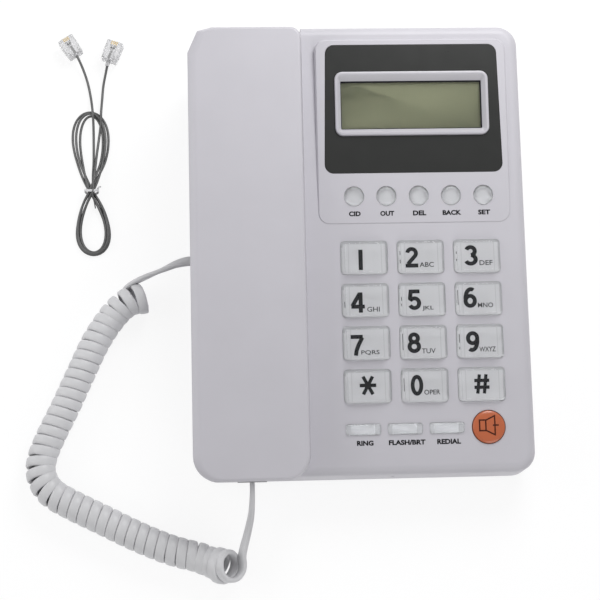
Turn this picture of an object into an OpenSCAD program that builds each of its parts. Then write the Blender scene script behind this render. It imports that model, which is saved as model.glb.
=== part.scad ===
// Corded desk telephone with caller display. Millimetres, +Z up, front towards -Y.
// The origin is under the middle of the telephone, on the surface that it stands on.

/* [Base] */
// Width of the base across its front
base_w = 148; // [142:0.2:156]
// Length of the base, front to rear
base_l = 199; // [192:1:206]
// How much narrower the base is at its rear, all of it on the right
base_taper = 0.8; // [0:0.2:4]
// Plan radius of the base's corners
corner_r = 9; // [6:0.5:12]
// Radius of the soft shoulder round the face
shoulder_r = 4.5; // [2:0.5:5.5]
// Wall and skin thickness of the base
wall = 2.5; // [2:0.1:2.8]
// Tilt of the keypad face
face_tilt = 8; // [6:0.5:9]
// Height of the face at its middle
face_h = 38; // [37:0.5:44]
// Height of the parting line between the two housings
parting_h = 9; // [8:0.5:9.5]
// Inset of the lower housing behind the upper one
reveal = 0.8; // [0.4:0.1:1.2]
// Thickness of the lower housing's floor
floor_t = 3; // [2.6:0.1:3.2]

/* [Feet and fasteners] */
// Height that the feet lift the base
foot_h = 2; // [1:0.5:3]
// Diameter of a foot
foot_d = 12; // [8:0.5:14]
// Depth that a foot sinks into the floor
foot_seat = 1; // [0.5:0.1:1.5]
// Diameter of a housing screw
screw_d = 3; // [2.5:0.1:3.5]
// Diameter of a housing screw's head
screw_head_d = 5.6; // [5:0.1:6]
// Wall round a screw's bore
boss_wall = 2; // [1.5:0.1:2.2]
// Height at which the upper posts meet the lower bosses
post_h = 12; // [11:0.5:13]
// Spacing of the two wall-mounting keyholes
keyhole_pitch = 83; // [80:0.5:86]
// Diameter of a keyhole's round entry
keyhole_entry_d = 9; // [8:0.2:10]
// Width of a keyhole's slot
keyhole_slot_w = 4.5; // [4:0.1:5]
// Length of a keyhole's slot
keyhole_slot_l = 9; // [8:0.5:11]

/* [Handset] */
// Width of the handset
hs_w = 50; // [47:0.5:51]
// How far the handset's front end stands past the base's front
hs_overhang = 2.5; // [1:0.5:4]
// How far its rear end stands inside the base's rear
hs_setback = 3.5; // [2:0.5:4]
// How far the handset's left side stands past the base's
hs_proud = 1.3; // [0.2:0.1:1.5]
// Height of the handset's back above the face
hs_top = 13; // [11:0.5:15]
// Height of the handset's parting line above the face
hs_split = 3; // [2:0.5:5]
// Depth of the cradle's deck below the face
deck_drop = 8; // [7:0.5:9]
// Wall thickness of the handset
hs_wall = 2.2; // [1.8:0.1:2.4]
// Gap between the handset and the base
hs_gap = 0.4; // [0.3:0.1:0.6]
// Side of the square ear cup
ear_cup = 40; // [38:0.5:41]
// Depth of the ear cup below the deck
ear_cup_drop = 11.5; // [10:0.5:12]
// Side of the mouth cup, across the handset
mouth_cup_w = 40; // [38:0.5:41]
// Length of the mouth cup, along the handset
mouth_cup_l = 36; // [34:0.5:37]
// Depth of the mouth cup below the deck
mouth_cup_drop = 7; // [6:0.5:7.5]
// Corner radius of the cups
cup_r = 8; // [6:0.5:9]
// Gap between a cup and its well
cup_gap = 2; // [1:0.5:2.5]
// Depth of the finger recess below the face
recess_drop = 14; // [12:0.5:14.5]
// How far the grip's underside stands below the face
grip_drop = 3; // [2:0.5:4]

/* [Number keys] */
// Spacing of the number keys across
key_pitch_x = 25; // [24:0.1:25.4]
// Spacing of the number keys along the face
key_pitch_y = 18.9; // [18:0.1:19.4]
// Width of a number key's window
key_w = 20.9; // [19:0.1:21.5]
// Length of a number key's window
key_l = 14.9; // [13.5:0.1:15.2]
// Corner radius of a number key's window
key_r = 2; // [1:0.1:3]
// Gap round every key and button
key_gap = 0.3; // [0.2:0.05:0.4]
// Height of a number key above the face
key_rise = 2.2; // [1:0.1:3]
// Travel of the keys and buttons
key_travel = 1.2; // [0.8:0.1:1.4]
// How far a key's flange reaches past its window
flange_w = 0.9; // [0.6:0.1:1]
// Thickness of a key's flange
flange_t = 1; // [0.8:0.1:1.2]
// Middle of the keypad, to the right of the base's middle
keypad_x = 26.5; // [25:0.5:28]
// Middle of the keypad, along the face
keypad_y = -33.9; // [-35:0.1:-33]

/* [Other buttons] */
// Diameter of a display button's hole
round_d = 8.9; // [8:0.1:9.5]
// Spacing of the display buttons
round_pitch = 14.4; // [13.8:0.1:14.6]
// Height of the display buttons' domes
round_rise = 1.4; // [0.8:0.1:2]
// Place of the display buttons along the face
round_y = 21.8; // [21:0.1:22.5]
// Width of a function key's slot
func_w = 15.3; // [14:0.1:15.8]
// Length of a function key's slot
func_l = 4.8; // [4:0.1:5.5]
// Spacing of the function keys
func_pitch = 18.3; // [17.9:0.1:18.6]
// Height of a function key above the face
func_rise = 0.9; // [0.4:0.1:1.5]
// Place of the lowest row along the face
func_y = -81; // [-82:0.1:-80]
// Diameter of the speaker button's hole
speaker_d = 14.9; // [13:0.1:15.2]
// Height of the speaker button's dome
speaker_rise = 1.6; // [0.8:0.1:2.2]

/* [Display] */
// Width of the raised plinth round the display
plinth_w = 86; // [83:0.5:87]
// Length of the plinth
plinth_l = 83.6; // [81:0.2:84]
// Corner radius of the plinth
plinth_r = 5; // [2:0.5:5]
// Place of the plinth's front edge along the face
plinth_y = 9.2; // [9:0.1:10.5]
// Height of the plinth at its front edge
plinth_step = 0.3; // [0.2:0.1:0.6]
// How much steeper the plinth is than the face
plinth_tilt = 1.6; // [1:0.1:2]
// Width of the dark panel at its front
panel_front_w = 79.3; // [76:0.1:80]
// Width of the dark panel at its rear
panel_rear_w = 76.9; // [74:0.1:78]
// Length of the dark panel
panel_l = 58; // [56:0.1:59]
// Thickness of the dark panel
panel_t = 1.2; // [0.8:0.1:1.5]
// Width of the display frame's sides
frame_side = 3.25; // [2.8:0.05:3.8]
// Width of the display frame's front and rear
frame_end = 3.9; // [3.4:0.05:4.4]
// Height of the display's frame above the panel
frame_rise = 1.6; // [1:0.1:2.5]
// Visible width of the display
view_w = 62.2; // [58:0.1:63]
// Visible length of the display
view_l = 21; // [19:0.1:22]
// Thickness of the clear window
window_t = 1.2; // [0.8:0.1:1.2]

/* [Jacks and cords] */
// Width of a handset cord plug
plug4_w = 7.65; // [7.5:0.05:7.8]
// Height of a handset cord plug
plug4_h = 6.4; // [6.2:0.05:6.6]
// Width of the line jack's opening
line_jack_w = 9.8; // [9.6:0.05:10]
// Height of the line jack's opening
line_jack_h = 6.7; // [6.6:0.05:6.8]
// Clearance of a plug in its jack
plug_gap = 0.08; // [0.05:0.01:0.15]
// Diameter of the handset cord's straight ends
lead_d = 3.4; // [3:0.1:3.8]
// Outer diameter of the curly part of the handset cord
coil_d = 13.4; // [12:0.1:13.4]
// Diameter of the line cord
line_d = 1.8; // [1.6:0.1:2.4]

/* [Battery bay] */
// Width of the battery bay
bay_w = 36; // [34:0.5:38]
// Length of the battery bay
bay_l = 46; // [45:0.5:48]
// Height of the battery bay above the floor's underside
bay_h = 13; // [12:0.5:14]
// Wall of the battery bay
bay_wall = 1.6; // [1.2:0.1:2]
// Thickness of the battery door
door_t = 1.8; // [1.4:0.1:1.9]
// Travel of the battery door as it slides off
door_travel = 14; // [8:1:20]
// How far the door reaches past the bay on each side
door_lap = 2; // [1.5:0.5:3]

/* [Hidden] */
DIGITS = ["1", "2", "3", "4", "5", "6", "7", "8", "9", "star", "0", "hash"];
ROUND_NAMES = ["cid", "out", "del", "back", "set"];
FUNC_NAMES = ["ring", "flash", "redial"];

$fn = 48;
HULL_FN = 48;   // facets of a round that a hull blends
ARC_STEPS = 8;  // straight steps in a quarter-round of an outline
FAR = 60;       // reach of a cutting block
SKIN_GAP = 0.1; // play between a flange and the skin over it
BORE_GAP = 0.02; // radial clearance of a screw in its bore

// Colours, light and dark
WHITE = [0.80, 0.79, 0.82];
CLEAR = [0.86, 0.88, 0.90];
DARK = [0.20, 0.21, 0.20];
ORANGE = [0.86, 0.42, 0.24];
GREEN = [0.10, 0.38, 0.20];
STEEL = [0.62, 0.63, 0.65];
GREY = [0.45, 0.45, 0.46];

// The base, centred so that the whole telephone is centred on the origin
hs_bevel = 2;     // depth of the bevel round the handset's back
hs_bevel_w = 4;   // its width on the handset's left side
base_x = hs_proud / 2;
hs_front = base_l / 2 + hs_overhang;
hs_rear = base_l / 2 - hs_setback;
hs_reach_front = hs_front * cos(face_tilt) + (hs_top - hs_bevel) * sin(face_tilt);
base_y = (hs_reach_front - base_l / 2) / 2;
base_left = base_x - base_w / 2;
base_front = base_y - base_l / 2;
base_rear = base_y + base_l / 2;

// The handset, in the face's own frame
hs_x = base_left - hs_proud + hs_w / 2;
hs_right = hs_x + hs_w / 2;
hs_front_r = 11;
hs_rear_r = 5;
hs_chamfer = [4.3, 11.4]; // cut off its rear left corner
hs_corner = [10.6, 1.6]; // and the slighter cut beside that
ear_y = hs_rear - 27.5;
mouth_y = 29.5 - hs_front;
ear_well = ear_cup + 2 * cup_gap;
recess_front = mouth_y + 25;
recess_rear = ear_y - 39;
well_floor_gap = 1;
hs_screws = [[hs_x - 14, ear_y - 26.5], [hs_x + 14, 5.7 - hs_front]];
hs_screw_d = 2.6;
hs_screw_head_d = 4.8;
hs_boss_d = 6.4;
hs_screw_bite = 5; // how far a handset screw reaches into the upper shell
hs_screw_sink = 3;
weight_size = [14, 60, 7];
capsule_d = 32;
capsule_h = 9;
mic_d = 9.7;
mic_h = 5;

// Stations down from the face, under the keys
under_skin = -wall - SKIN_GAP;
flange_low = under_skin - flange_t;
mat_top = flange_low - key_travel - SKIN_GAP;
mat_t = 1;
mat_edge = 1.5; // how far the mat reaches past its outer domes
key_dome_d = 8;
round_dome_d = 6;
func_dome_d = 5;
dome_h = 1.2;
mat_low = mat_top - dome_h - mat_t;
board_t = 1.6;
board_left = hs_x + hs_w / 2 + 11.5;
board_right = base_w / 2 - 9.6;
board_front = -(base_l / 2 - wall - mic_h - 1.4) / cos(face_tilt);
board_rear = round_y + 10.2;

// The lowest row and the display, placed from the keypad's middle
func_x = keypad_x - 9.15;
speaker_x = keypad_x + 27.4;
plinth_x = keypad_x - 2;
plinth_bevel = 0.7;
view_y = 54.1;
panel_x = 0.25;
panel_y = 51.95;
panel_r = 4;
frame_r = 3.5;
view_lip = 1.6;
window_lap = 1.8;
lcd_glass_t = 1.6;
frame_w = view_w + 2 * frame_side;
frame_l = view_l + 2 * frame_end;
lcd_size = [view_w + 11.8, view_l + 15, 3.2];

// The lower housing and what stands on its floor
floor_top = foot_h + floor_t;
boss_d = screw_d + 2 * boss_wall;
counterbore = 5;
screw_l = 13;
post_in = 7.6; // the screw posts' middles, from the base's sides
post_end = 10.5; // and from its front and rear
posts = [[base_w / 2 - post_in, post_end - base_l / 2],
    [base_w / 2 - post_in - 1, base_l / 2 - post_end], [-17, post_end - 1 - base_l / 2],
    [-17, base_l / 2 - post_end], [post_in - base_w / 2, 26]];
foot_x = base_w / 2 - 13.6;
foot_y = base_l / 2 - 28;
feet = [[foot_x, -foot_y], [foot_x, foot_y], [-foot_x, -foot_y], [-foot_x, foot_y]];
foot_play = 0.05;
bay_x = 28;
bay_rear = base_rear - wall - reveal - 2;
door_gap = 0.3;
contact = [7, 0.4, 6];
contact_button_d = 3;
contact_button_h = 0.8;
speaker_place = [28, -22];
driver_d = 40;
driver_h = 9;
magnet_d = 20;
magnet_h = 4;
frame_rim = 3; // depth of the driver's rim
keyhole_x = -2;

// Jacks
jack_wall = 1.2;
jack_l = 14;
base_jack_y = 2;
base_jack_z = 15.2;
hs_jack_z = -1.2;
line_jack_x = -2;
line_jack_z = 20;
line_jack_size = [13, 16, 12.4];
plug4_l = 12.4;
plug_proud = 1;
latch_w = 3.2;
latch_h = 1.2;
line_plug = [9.65, 12.3, 6.6];

// Hook switch
hook_y = recess_rear + 10;
hook_d = 6;
hook_travel = 4;
hook_flange_d = 8;
hook_flange_z = 15;
hook_play = 0.3;
spring_r = 3;
spring_wire = 0.7;
spring_turns = 5;
hook_base_h = 3;

// The cords' routes on the surface. The coil's middle line:
coil_z = 6.8;
coil_route = [[-101, -13], [-112, -21], [-119, -33], [-126, -49], [-133, -64], [-139, -78],
    [-142.5, -90], [-141, -98], [-134, -104], [-124, -109], [-105, -117], [-86, -125],
    [-67, -131.5]];
// The lead from the base's jack to the coil, between its ends
base_lead_route = [[-80, 1.6, 15], [-86, -0.8, 13.2], [-91, -4.2, 9.4], [-96, -9, 7.2]];
// The lead from the coil to the handset's jack, between its ends
hs_lead_route = [[-61, -133, 6.6], [-55.5, -131.5, 6.2], [-52, -126, 6], [-50.5, -119, 8],
    [-49.5, -112, 13]];
stub = 0.8; // straight end of a lead, square to the face that it meets
// The line cord's hank: its two loops and the waist that the tie holds
hank_h = 4.6;
hank_upper = [-122.8, 72.5, 18.4]; // x and y of the loop's far end, and its width
hank_lower = [-120.6, 17.2, 16.6];
hank_waist = [-121.8, 41, 5.6, 8];
tie_w = 1.6;
tie_t = 0.7;
line_plug_z = line_plug[2] / 2 + latch_h;
lead_a_route = [[-123.4, 80.8, 2.4], [-124.6, 90, 1.4], [-126.5, 100, 1.6]];
lead_b_route = [[-120.4, 80.8, 2.4], [-118.5, 90, 1.4], [-116, 98, 1.6]];
plug_a = [-129.7, 109, 33]; // x and y of the tail, and its turn
plug_b = [-114.2, 106, -20];

// ---------------------------------------------------------------- frames and outlines

// Puts its children in the face's frame: x right, y up the face, z out of it
module on_face() translate([0, base_y, face_h]) rotate([face_tilt, 0, 0]) children();

// Puts its children on the plinth, from the middle of its front edge
module on_plinth()
    on_face() translate([plinth_x, plinth_y, plinth_step]) rotate([plinth_tilt, 0, 0]) children();

// A point of the face's frame in the telephone's frame
function face_point(x, y, z) = [x, base_y + y * cos(face_tilt) - z * sin(face_tilt),
    face_h + y * sin(face_tilt) + z * cos(face_tilt)];

function arc(x, y, r, from) = [for (i = [0 : ARC_STEPS]) let (a = from + 90 * i / ARC_STEPS)
    [x + r * cos(a), y + r * sin(a)]];

function round_rect(w, l, r) = concat(
    arc(w / 2 - r, l / 2 - r, r, 0), arc(r - w / 2, l / 2 - r, r, 90),
    arc(r - w / 2, r - l / 2, r, 180), arc(w / 2 - r, r - l / 2, r, 270));

// The handset's plan outline, grown by g, with the left side drawn in by left
function hs_outline(g, left = 0) = let (l = hs_x - hs_w / 2 - g + left, r = hs_right + g,
        f = -hs_front - g, b = hs_rear + g, fr = hs_front_r + g, br = hs_rear_r + g) concat(
    arc(r - br, b - br, br, 0),
    [[l + hs_corner[0], b], [l + hs_chamfer[0], b - hs_corner[1]], [l, b - hs_chamfer[1]]],
    arc(l + fr, f + fr, fr, 180), arc(r - fr, f + fr, fr, 270));

module plate(points, low, high) translate([0, 0, low]) linear_extrude(high - low) polygon(points);

// A plate whose upper edge is bevelled by b, b wide
module bevel_plate(w, l, r, low, high, b) hull() {
    plate(round_rect(w, l, r), low, high - b);
    plate(round_rect(w - 2 * b, l - 2 * b, r - b / 2), low, high);
}

// ---------------------------------------------------------------- the base

// The plan of the base drawn in by inset, as a polygon with round corners
function base_plan(inset) = let (r = corner_r - inset, l = base_left + inset,
        right = base_left + base_w - inset, f = base_front + inset, b = base_rear - inset) concat(
    arc(right - base_taper - r, b - r, r, 0), arc(l + r, b - r, r, 90),
    arc(l + r, f + r, r, 180), arc(right - r, f + r, r, 270));

// The base's outer form: upright walls under a tilted face with a soft shoulder
module base_form(low) hull() for (rear = [0, 1], side = [0, 1]) {
    x = side == 0 ? base_left + corner_r : base_left + base_w - corner_r - rear * base_taper;
    y = (rear == 0 ? -1 : 1) * (base_l / 2 - corner_r);
    translate([x, base_y + y, low]) cylinder(r = corner_r, h = 1, $fn = HULL_FN);
    on_face() translate([x, (y - shoulder_r * sin(face_tilt)) / cos(face_tilt), -shoulder_r])
        rotate_extrude($fn = HULL_FN) translate([corner_r - shoulder_r, 0])
            circle(shoulder_r, $fn = HULL_FN / 2);
}

// The hollow that the handset lies in, grown by g for the skin under it
module handset_bay(g) on_face() {
    plate(hs_outline(hs_gap + g), -deck_drop - g, FAR);
    translate([hs_x - 2 * hs_w, -base_l, -deck_drop - g]) cube([2 * hs_w, 2 * base_l, FAR]);
    translate([hs_x - hs_w, 0, -deck_drop - g]) cube([1.5 * hs_w + hs_gap + g, base_l, FAR]);
    translate([hs_x - hs_w, recess_front - g, -recess_drop - g])
        cube([1.5 * hs_w - 2 + g, recess_rear - recess_front + 2 * g, FAR]);
    translate([hs_x, ear_y, 0])
        plate(round_rect(ear_well + 2 * g, ear_well + 2 * g, cup_r + cup_gap + g),
            -deck_drop - ear_cup_drop - well_floor_gap - g, FAR);
    translate([hs_x, mouth_y, 0])
        plate(round_rect(mouth_cup_w + 2 * (cup_gap + g), mouth_cup_l + 2 * (cup_gap + g),
            cup_r + cup_gap + g), -deck_drop - mouth_cup_drop - well_floor_gap - g, FAR);
}

// The inside of the upper housing
module base_inside() difference() {
    plate(base_plan(wall), parting_h - 1, face_h + FAR);
    on_face() translate([-base_w, -base_l, -wall]) cube([2 * base_w, 2 * base_l, 2 * FAR]);
    handset_bay(wall);
    for (p = posts) translate([base_x + p[0], base_y + p[1], post_h]) cylinder(d = boss_d, h = FAR);
}

// Repeats its children at each place of a row of n, spaced by pitch
module row(n, pitch) for (i = [0 : n - 1]) translate([(i - (n - 1) / 2) * pitch, 0, 0]) children();

// Holes in the face for all its keys and buttons
module face_holes() {
    on_face() {
        translate([keypad_x, keypad_y, 0]) for (i = [-1.5 : 1.5]) translate([0, i * key_pitch_y, 0])
            row(3, key_pitch_x) plate(round_rect(key_w, key_l, key_r), -FAR / 4, FAR / 4);
        translate([func_x, func_y, 0]) row(3, func_pitch)
            plate(round_rect(func_w, func_l, 1), -FAR / 4, FAR / 4);
        translate([speaker_x, func_y, -FAR / 4]) cylinder(d = speaker_d, h = FAR / 2);
    }
    on_plinth() translate([keypad_x - plinth_x, round_y - plinth_y, -FAR / 4]) row(5, round_pitch)
        cylinder(d = round_d, h = FAR / 2);
}

// The place of the display: panel recess and window opening, with the module's room below
module display_hollow() on_plinth() {
    plate(panel_outline(0.1), -panel_t, FAR / 4);
    translate([0, view_y, 0]) {
        plate(round_rect(view_w + 2 * window_lap + 0.2, view_l + 2 * window_lap + 0.2, 1),
            -FAR / 4, 0);
        translate([-lcd_size[0] / 2 - 1, -lcd_size[1] / 2 - 1, -FAR / 4])
            cube([lcd_size[0] + 2, lcd_size[1] + 2, FAR / 4 - lcd_seat]);
    }
}
lcd_seat = panel_t + window_t + lcd_glass_t;

function panel_outline(g) = let (f = panel_front_w / 2 + g, b = panel_rear_w / 2 + g,
        l = panel_l / 2 + g, r = panel_r + g) [for (p = concat(
    arc(b - r, l - r, r, 0), arc(r - b, l - r, r, 90),
    arc(r - f, r - l, r, 180), arc(f - r, r - l, r, 270))) [p[0] + panel_x, p[1] + panel_y]];

module base_top_housing() color(WHITE) difference() {
    union() {
        base_form(parting_h);
        on_plinth() translate([0, plinth_l / 2, 0])
            bevel_plate(plinth_w, plinth_l, plinth_r, -wall, 0, plinth_bevel);
    }
    handset_bay(0);
    base_inside();
    face_holes();
    display_hollow();
    for (p = posts) translate([base_x + p[0], base_y + p[1], post_h - 1])
        cylinder(d = screw_d + 2 * BORE_GAP, h = screw_l - counterbore + 4);
    base_jack_hole();
    line_jack_hole();
    hook_hole();
    hanger_hole();
    microphone_hole();
}

// Bosses, floor and walls of the lower housing, with the battery bay
module base_lower_housing() color(WHITE) difference() {
    union() {
        difference() {
            plate(base_plan(reveal), foot_h, parting_h);
            plate(base_plan(reveal + wall), floor_top, parting_h + 1);
        }
        for (p = posts) translate([base_x + p[0], base_y + p[1], foot_h])
            cylinder(d = boss_d, h = post_h - foot_h);
        translate([bay_x - bay_w / 2 - bay_wall, bay_rear - bay_l - bay_wall, foot_h])
            cube([bay_w + 2 * bay_wall, bay_l + 2 * bay_wall, bay_h + bay_wall]);
    }
    for (p = posts) translate([base_x + p[0], base_y + p[1], foot_h]) {
        translate([0, 0, -1]) cylinder(d = screw_d + 2 * BORE_GAP, h = post_h);
        translate([0, 0, -1]) cylinder(d = screw_head_d + 0.4, h = counterbore + 1);
    }
    translate([bay_x - bay_w / 2, bay_rear - bay_l, foot_h - 1]) cube([bay_w, bay_l, bay_h + 1]);
    door_space();
    for (f = feet) translate([base_x + f[0], base_y + f[1], foot_h - 1])
        cylinder(d = foot_d + 2 * foot_play, h = foot_seat + 1);
    for (i = [-1, 1]) translate([keyhole_x, base_y + i * keyhole_pitch / 2, foot_h - 1]) {
        cylinder(d = keyhole_entry_d, h = floor_t + 2);
        translate([-keyhole_slot_w / 2, 0, 0]) cube([keyhole_slot_w, keyhole_slot_l, floor_t + 2]);
        translate([0, keyhole_slot_l, 0]) cylinder(d = keyhole_slot_w, h = floor_t + 2);
    }
    speaker_grille();
}

// Slots under the loudspeaker, each as long as the driver's cone is wide there
module speaker_grille() translate([speaker_place[0], base_y + speaker_place[1], foot_h - 1])
    for (y = [-14 : 4 : 14]) {
        half = sqrt(pow(driver_d / 2 - 3, 2) - y * y);
        translate([-half, y - 0.8, 0]) cube([2 * half, 1.6, floor_t + 2]);
    }

// The room that the battery door slides in, open at the rear
module door_space() translate([bay_x - bay_w / 2 - door_lap - door_gap,
        bay_rear - bay_l - door_lap - door_gap, foot_h - 1])
    cube([bay_w + 2 * (door_lap + door_gap), FAR + base_l / 2, door_t + 1.1]);

module battery_door() color(WHITE) difference() {
    front = bay_rear - bay_l - door_lap;
    translate([bay_x - bay_w / 2 - door_lap, front, foot_h])
        cube([bay_w + 2 * door_lap, base_rear - reveal - front, door_t]);
    for (i = [0 : 4]) translate([bay_x - 8, base_rear - 8 - 2.4 * i, foot_h - 1])
        cube([16, 1, 1.6]);
}

// Three pairs of contact plates, each with its button, on the bay's end walls
module battery_contacts() color(STEEL) for (i = [-1 : 1], end = [0, 1]) {
    y = end == 0 ? bay_rear - bay_l : bay_rear - contact[1];
    translate([bay_x + i * bay_w / 3, y, foot_h + bay_h / 2]) {
        translate([-contact[0] / 2, 0, -contact[2] / 2]) cube(contact);
        translate([0, contact[1] / 2, 0]) rotate([end == 0 ? -90 : 90, 0, 0])
            cylinder(d = contact_button_d, h = contact_button_h);
    }
}

module rubber_feet() color(GREY) for (f = feet) translate([base_x + f[0], base_y + f[1], 0])
    rotate_extrude() polygon([[0, 0], [foot_d / 2 - 0.8, 0], [foot_d / 2, 0.8],
        [foot_d / 2, foot_h + foot_seat], [0, foot_h + foot_seat]]);

// A self-tapping screw, head down, with its head's upper face at z = 0
module screw(d, head_d, head_h, l) difference() {
    union() {
        translate([0, 0, -head_h]) cylinder(d = head_d, h = head_h);
        cylinder(d = d, h = l);
    }
    for (a = [0, 90]) rotate(a) translate([-head_d * 0.3, -0.4, -head_h - 1])
        cube([head_d * 0.6, 0.8, 2]);
}

module housing_screws() color(STEEL)
    for (p = posts) translate([base_x + p[0], base_y + p[1], foot_h + counterbore])
        screw(screw_d, screw_head_d, 2, screw_l);

// ---------------------------------------------------------------- display

module display_panel() color(DARK) on_plinth() difference() {
    plate(panel_outline(0), -panel_t, 0);
    translate([0, view_y, 0])
        plate(round_rect(frame_w + 0.1, frame_l + 0.1, frame_r), -FAR / 4, FAR / 4);
}

// A white frame whose inner faces slope down to the window
module lcd_frame() color(WHITE) on_plinth() translate([0, view_y, 0]) difference() {
    bevel_plate(frame_w, frame_l, frame_r, -panel_t, frame_rise, 0.8);
    hull() {
        plate(round_rect(view_w, view_l, 0.4), -panel_t - 1, -panel_t + 0.2);
        plate(round_rect(view_w + 2 * view_lip, view_l + 2 * view_lip, 1), frame_rise,
            frame_rise + 1);
    }
}

module lcd_window() color(CLEAR) on_plinth() translate([0, view_y, 0])
    plate(round_rect(view_w + 2 * window_lap, view_l + 2 * window_lap, 1), -panel_t - window_t,
        -panel_t);

module lcd_module() color([0.52, 0.54, 0.44]) on_plinth() translate([0, view_y, 0]) {
    plate(round_rect(view_w + 2 * window_lap, view_l + 2 * window_lap, 1), -lcd_seat,
        -lcd_seat + lcd_glass_t);
    plate(round_rect(lcd_size[0], lcd_size[1], 1), -lcd_seat - lcd_size[2], -lcd_seat);
}

// ---------------------------------------------------------------- boards and sound

module main_board() color(GREEN) on_face() difference() {
    translate([board_left, board_front, mat_low - board_t])
        cube([board_right - board_left, board_rear - board_front, board_t]);
    for (p = posts) translate([base_x + p[0], p[1] / cos(face_tilt), mat_low - board_t - 5])
        cylinder(d = boss_d + 4, h = 10);
}

// The rubber mat on the board, with a dome under each key
module keypad_membrane() color(GREY) on_face() {
    left = keypad_x - 2 * round_pitch - round_dome_d / 2 - mat_edge;
    right = speaker_x + key_dome_d / 2 + mat_edge;
    front = func_y - key_dome_d / 2 - mat_edge;
    rear = round_y + round_dome_d / 2 + mat_edge;
    translate([left, front, mat_low]) cube([right - left, rear - front, mat_t]);
    translate([keypad_x, keypad_y, mat_low]) for (i = [-1.5 : 1.5])
        translate([0, i * key_pitch_y, 0]) row(3, key_pitch_x) dome(key_dome_d, dome_h);
    translate([keypad_x, round_y, mat_low]) row(5, round_pitch) dome(round_dome_d, dome_h / 2);
    translate([func_x, func_y, mat_low]) row(3, func_pitch) dome(func_dome_d, dome_h);
    translate([speaker_x, func_y, mat_low]) dome(key_dome_d, dome_h);
}
module dome(d, h) cylinder(d1 = d, d2 = d - 2, h = mat_t + h);

module loudspeaker() color(DARK)
    translate([speaker_place[0], base_y + speaker_place[1], floor_top]) difference() {
        union() {
            cylinder(d = driver_d, h = frame_rim);
            translate([0, 0, frame_rim])
                cylinder(d1 = driver_d - 4, d2 = magnet_d + 2, h = driver_h - frame_rim - 2);
            translate([0, 0, driver_h - 2]) cylinder(d = magnet_d, h = magnet_h);
        }
        translate([0, 0, -1]) cylinder(d1 = driver_d - 6, d2 = magnet_d - 8, h = frame_rim + 2);
    }

// The hands-free microphone behind the front wall
mic_place = [12, base_front, 15];
base_mic_d = 6;
module microphone_hole() translate(mic_place) rotate([-90, 0, 0]) translate([0, 0, -1])
    cylinder(d = 1.5, h = wall + 2);
module base_microphone() color(STEEL) translate(mic_place) rotate([-90, 0, 0])
    translate([0, 0, wall]) difference() {
        cylinder(d = base_mic_d, h = mic_h);
        translate([0, 0, -1]) cylinder(d = 1.6, h = 2);
    }

// ---------------------------------------------------------------- jacks and plugs

// A modular jack with its mouth at y = 0 and its body towards +Y
module jack(w, h, l, body) difference() {
    translate([-body[0] / 2, 0, -body[2] / 2]) cube(body);
    translate([-w / 2, -1, -h / 2]) cube([w, l + 1, h]);
    translate([-latch_w / 2 - 0.2, -1, -h / 2 - latch_h - 0.2])
        cube([latch_w + 0.4, l + 1, latch_h + 1]);
}

// A modular plug, nose towards +Y and its tail face at y = 0
module plug(w, h, l) {
    difference() {
        translate([-w / 2, 0, -h / 2]) cube([w, l, h]);
        for (i = [-1.5 : 1.5]) translate([i * 1.02 - 0.2, l - 3, h / 2 - 1])
            cube([0.4, 4, 2]);
    }
    translate([-latch_w / 2, 1.5, -h / 2 - latch_h]) cube([latch_w, l - 2.5, latch_h + 0.1]);
}

jack4_w = plug4_w + 2 * plug_gap;
jack4_h = plug4_h + 2 * plug_gap;
jack4_body = [jack4_w + 2 * jack_wall, jack_l, jack4_h + jack_wall + latch_h + 0.8];

module base_jack_at(out) translate([base_left + out, base_jack_y, base_jack_z])
    rotate([0, 0, -90]) children();
module base_jack_hole() base_jack_at(-1)
    translate([-jack4_body[0] / 2, 0, -jack4_body[2] / 2]) cube([jack4_body[0], wall + 2,
        jack4_body[2]]);
module base_handset_jack() color(DARK) base_jack_at(0.3)
    jack(jack4_w, jack4_h, plug4_l - plug_proud + 0.4, jack4_body);
module base_plug() color(CLEAR) base_jack_at(0.3 - plug_proud) plug(plug4_w, plug4_h, plug4_l);

module hs_jack_at(out) on_face() translate([hs_x, -hs_front + out, hs_jack_z]) children();
module handset_jack() color(DARK) hs_jack_at(hs_wall)
    jack(jack4_w, jack4_h, plug4_l - plug_proud, [jack4_w + 2 * jack_wall, jack_l, hs_jack_h]);
hs_jack_h = 2 * (deck_drop - hs_wall + hs_jack_z);
module handset_plug() color(CLEAR) hs_jack_at(-0.2) plug(plug4_w, plug4_h, plug4_l);

module line_jack_at(out) translate([line_jack_x, base_rear - out, line_jack_z])
    rotate([0, 0, 180]) children();
module line_jack_hole() line_jack_at(-1)
    translate([-line_jack_size[0] / 2, 0, -line_jack_size[2] / 2])
        cube([line_jack_size[0], wall + 2, line_jack_size[2]]);
module line_jack() color(DARK) line_jack_at(0.3)
    jack(line_jack_w, line_jack_h, 12, line_jack_size);

// ---------------------------------------------------------------- hook switch and hanger

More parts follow.
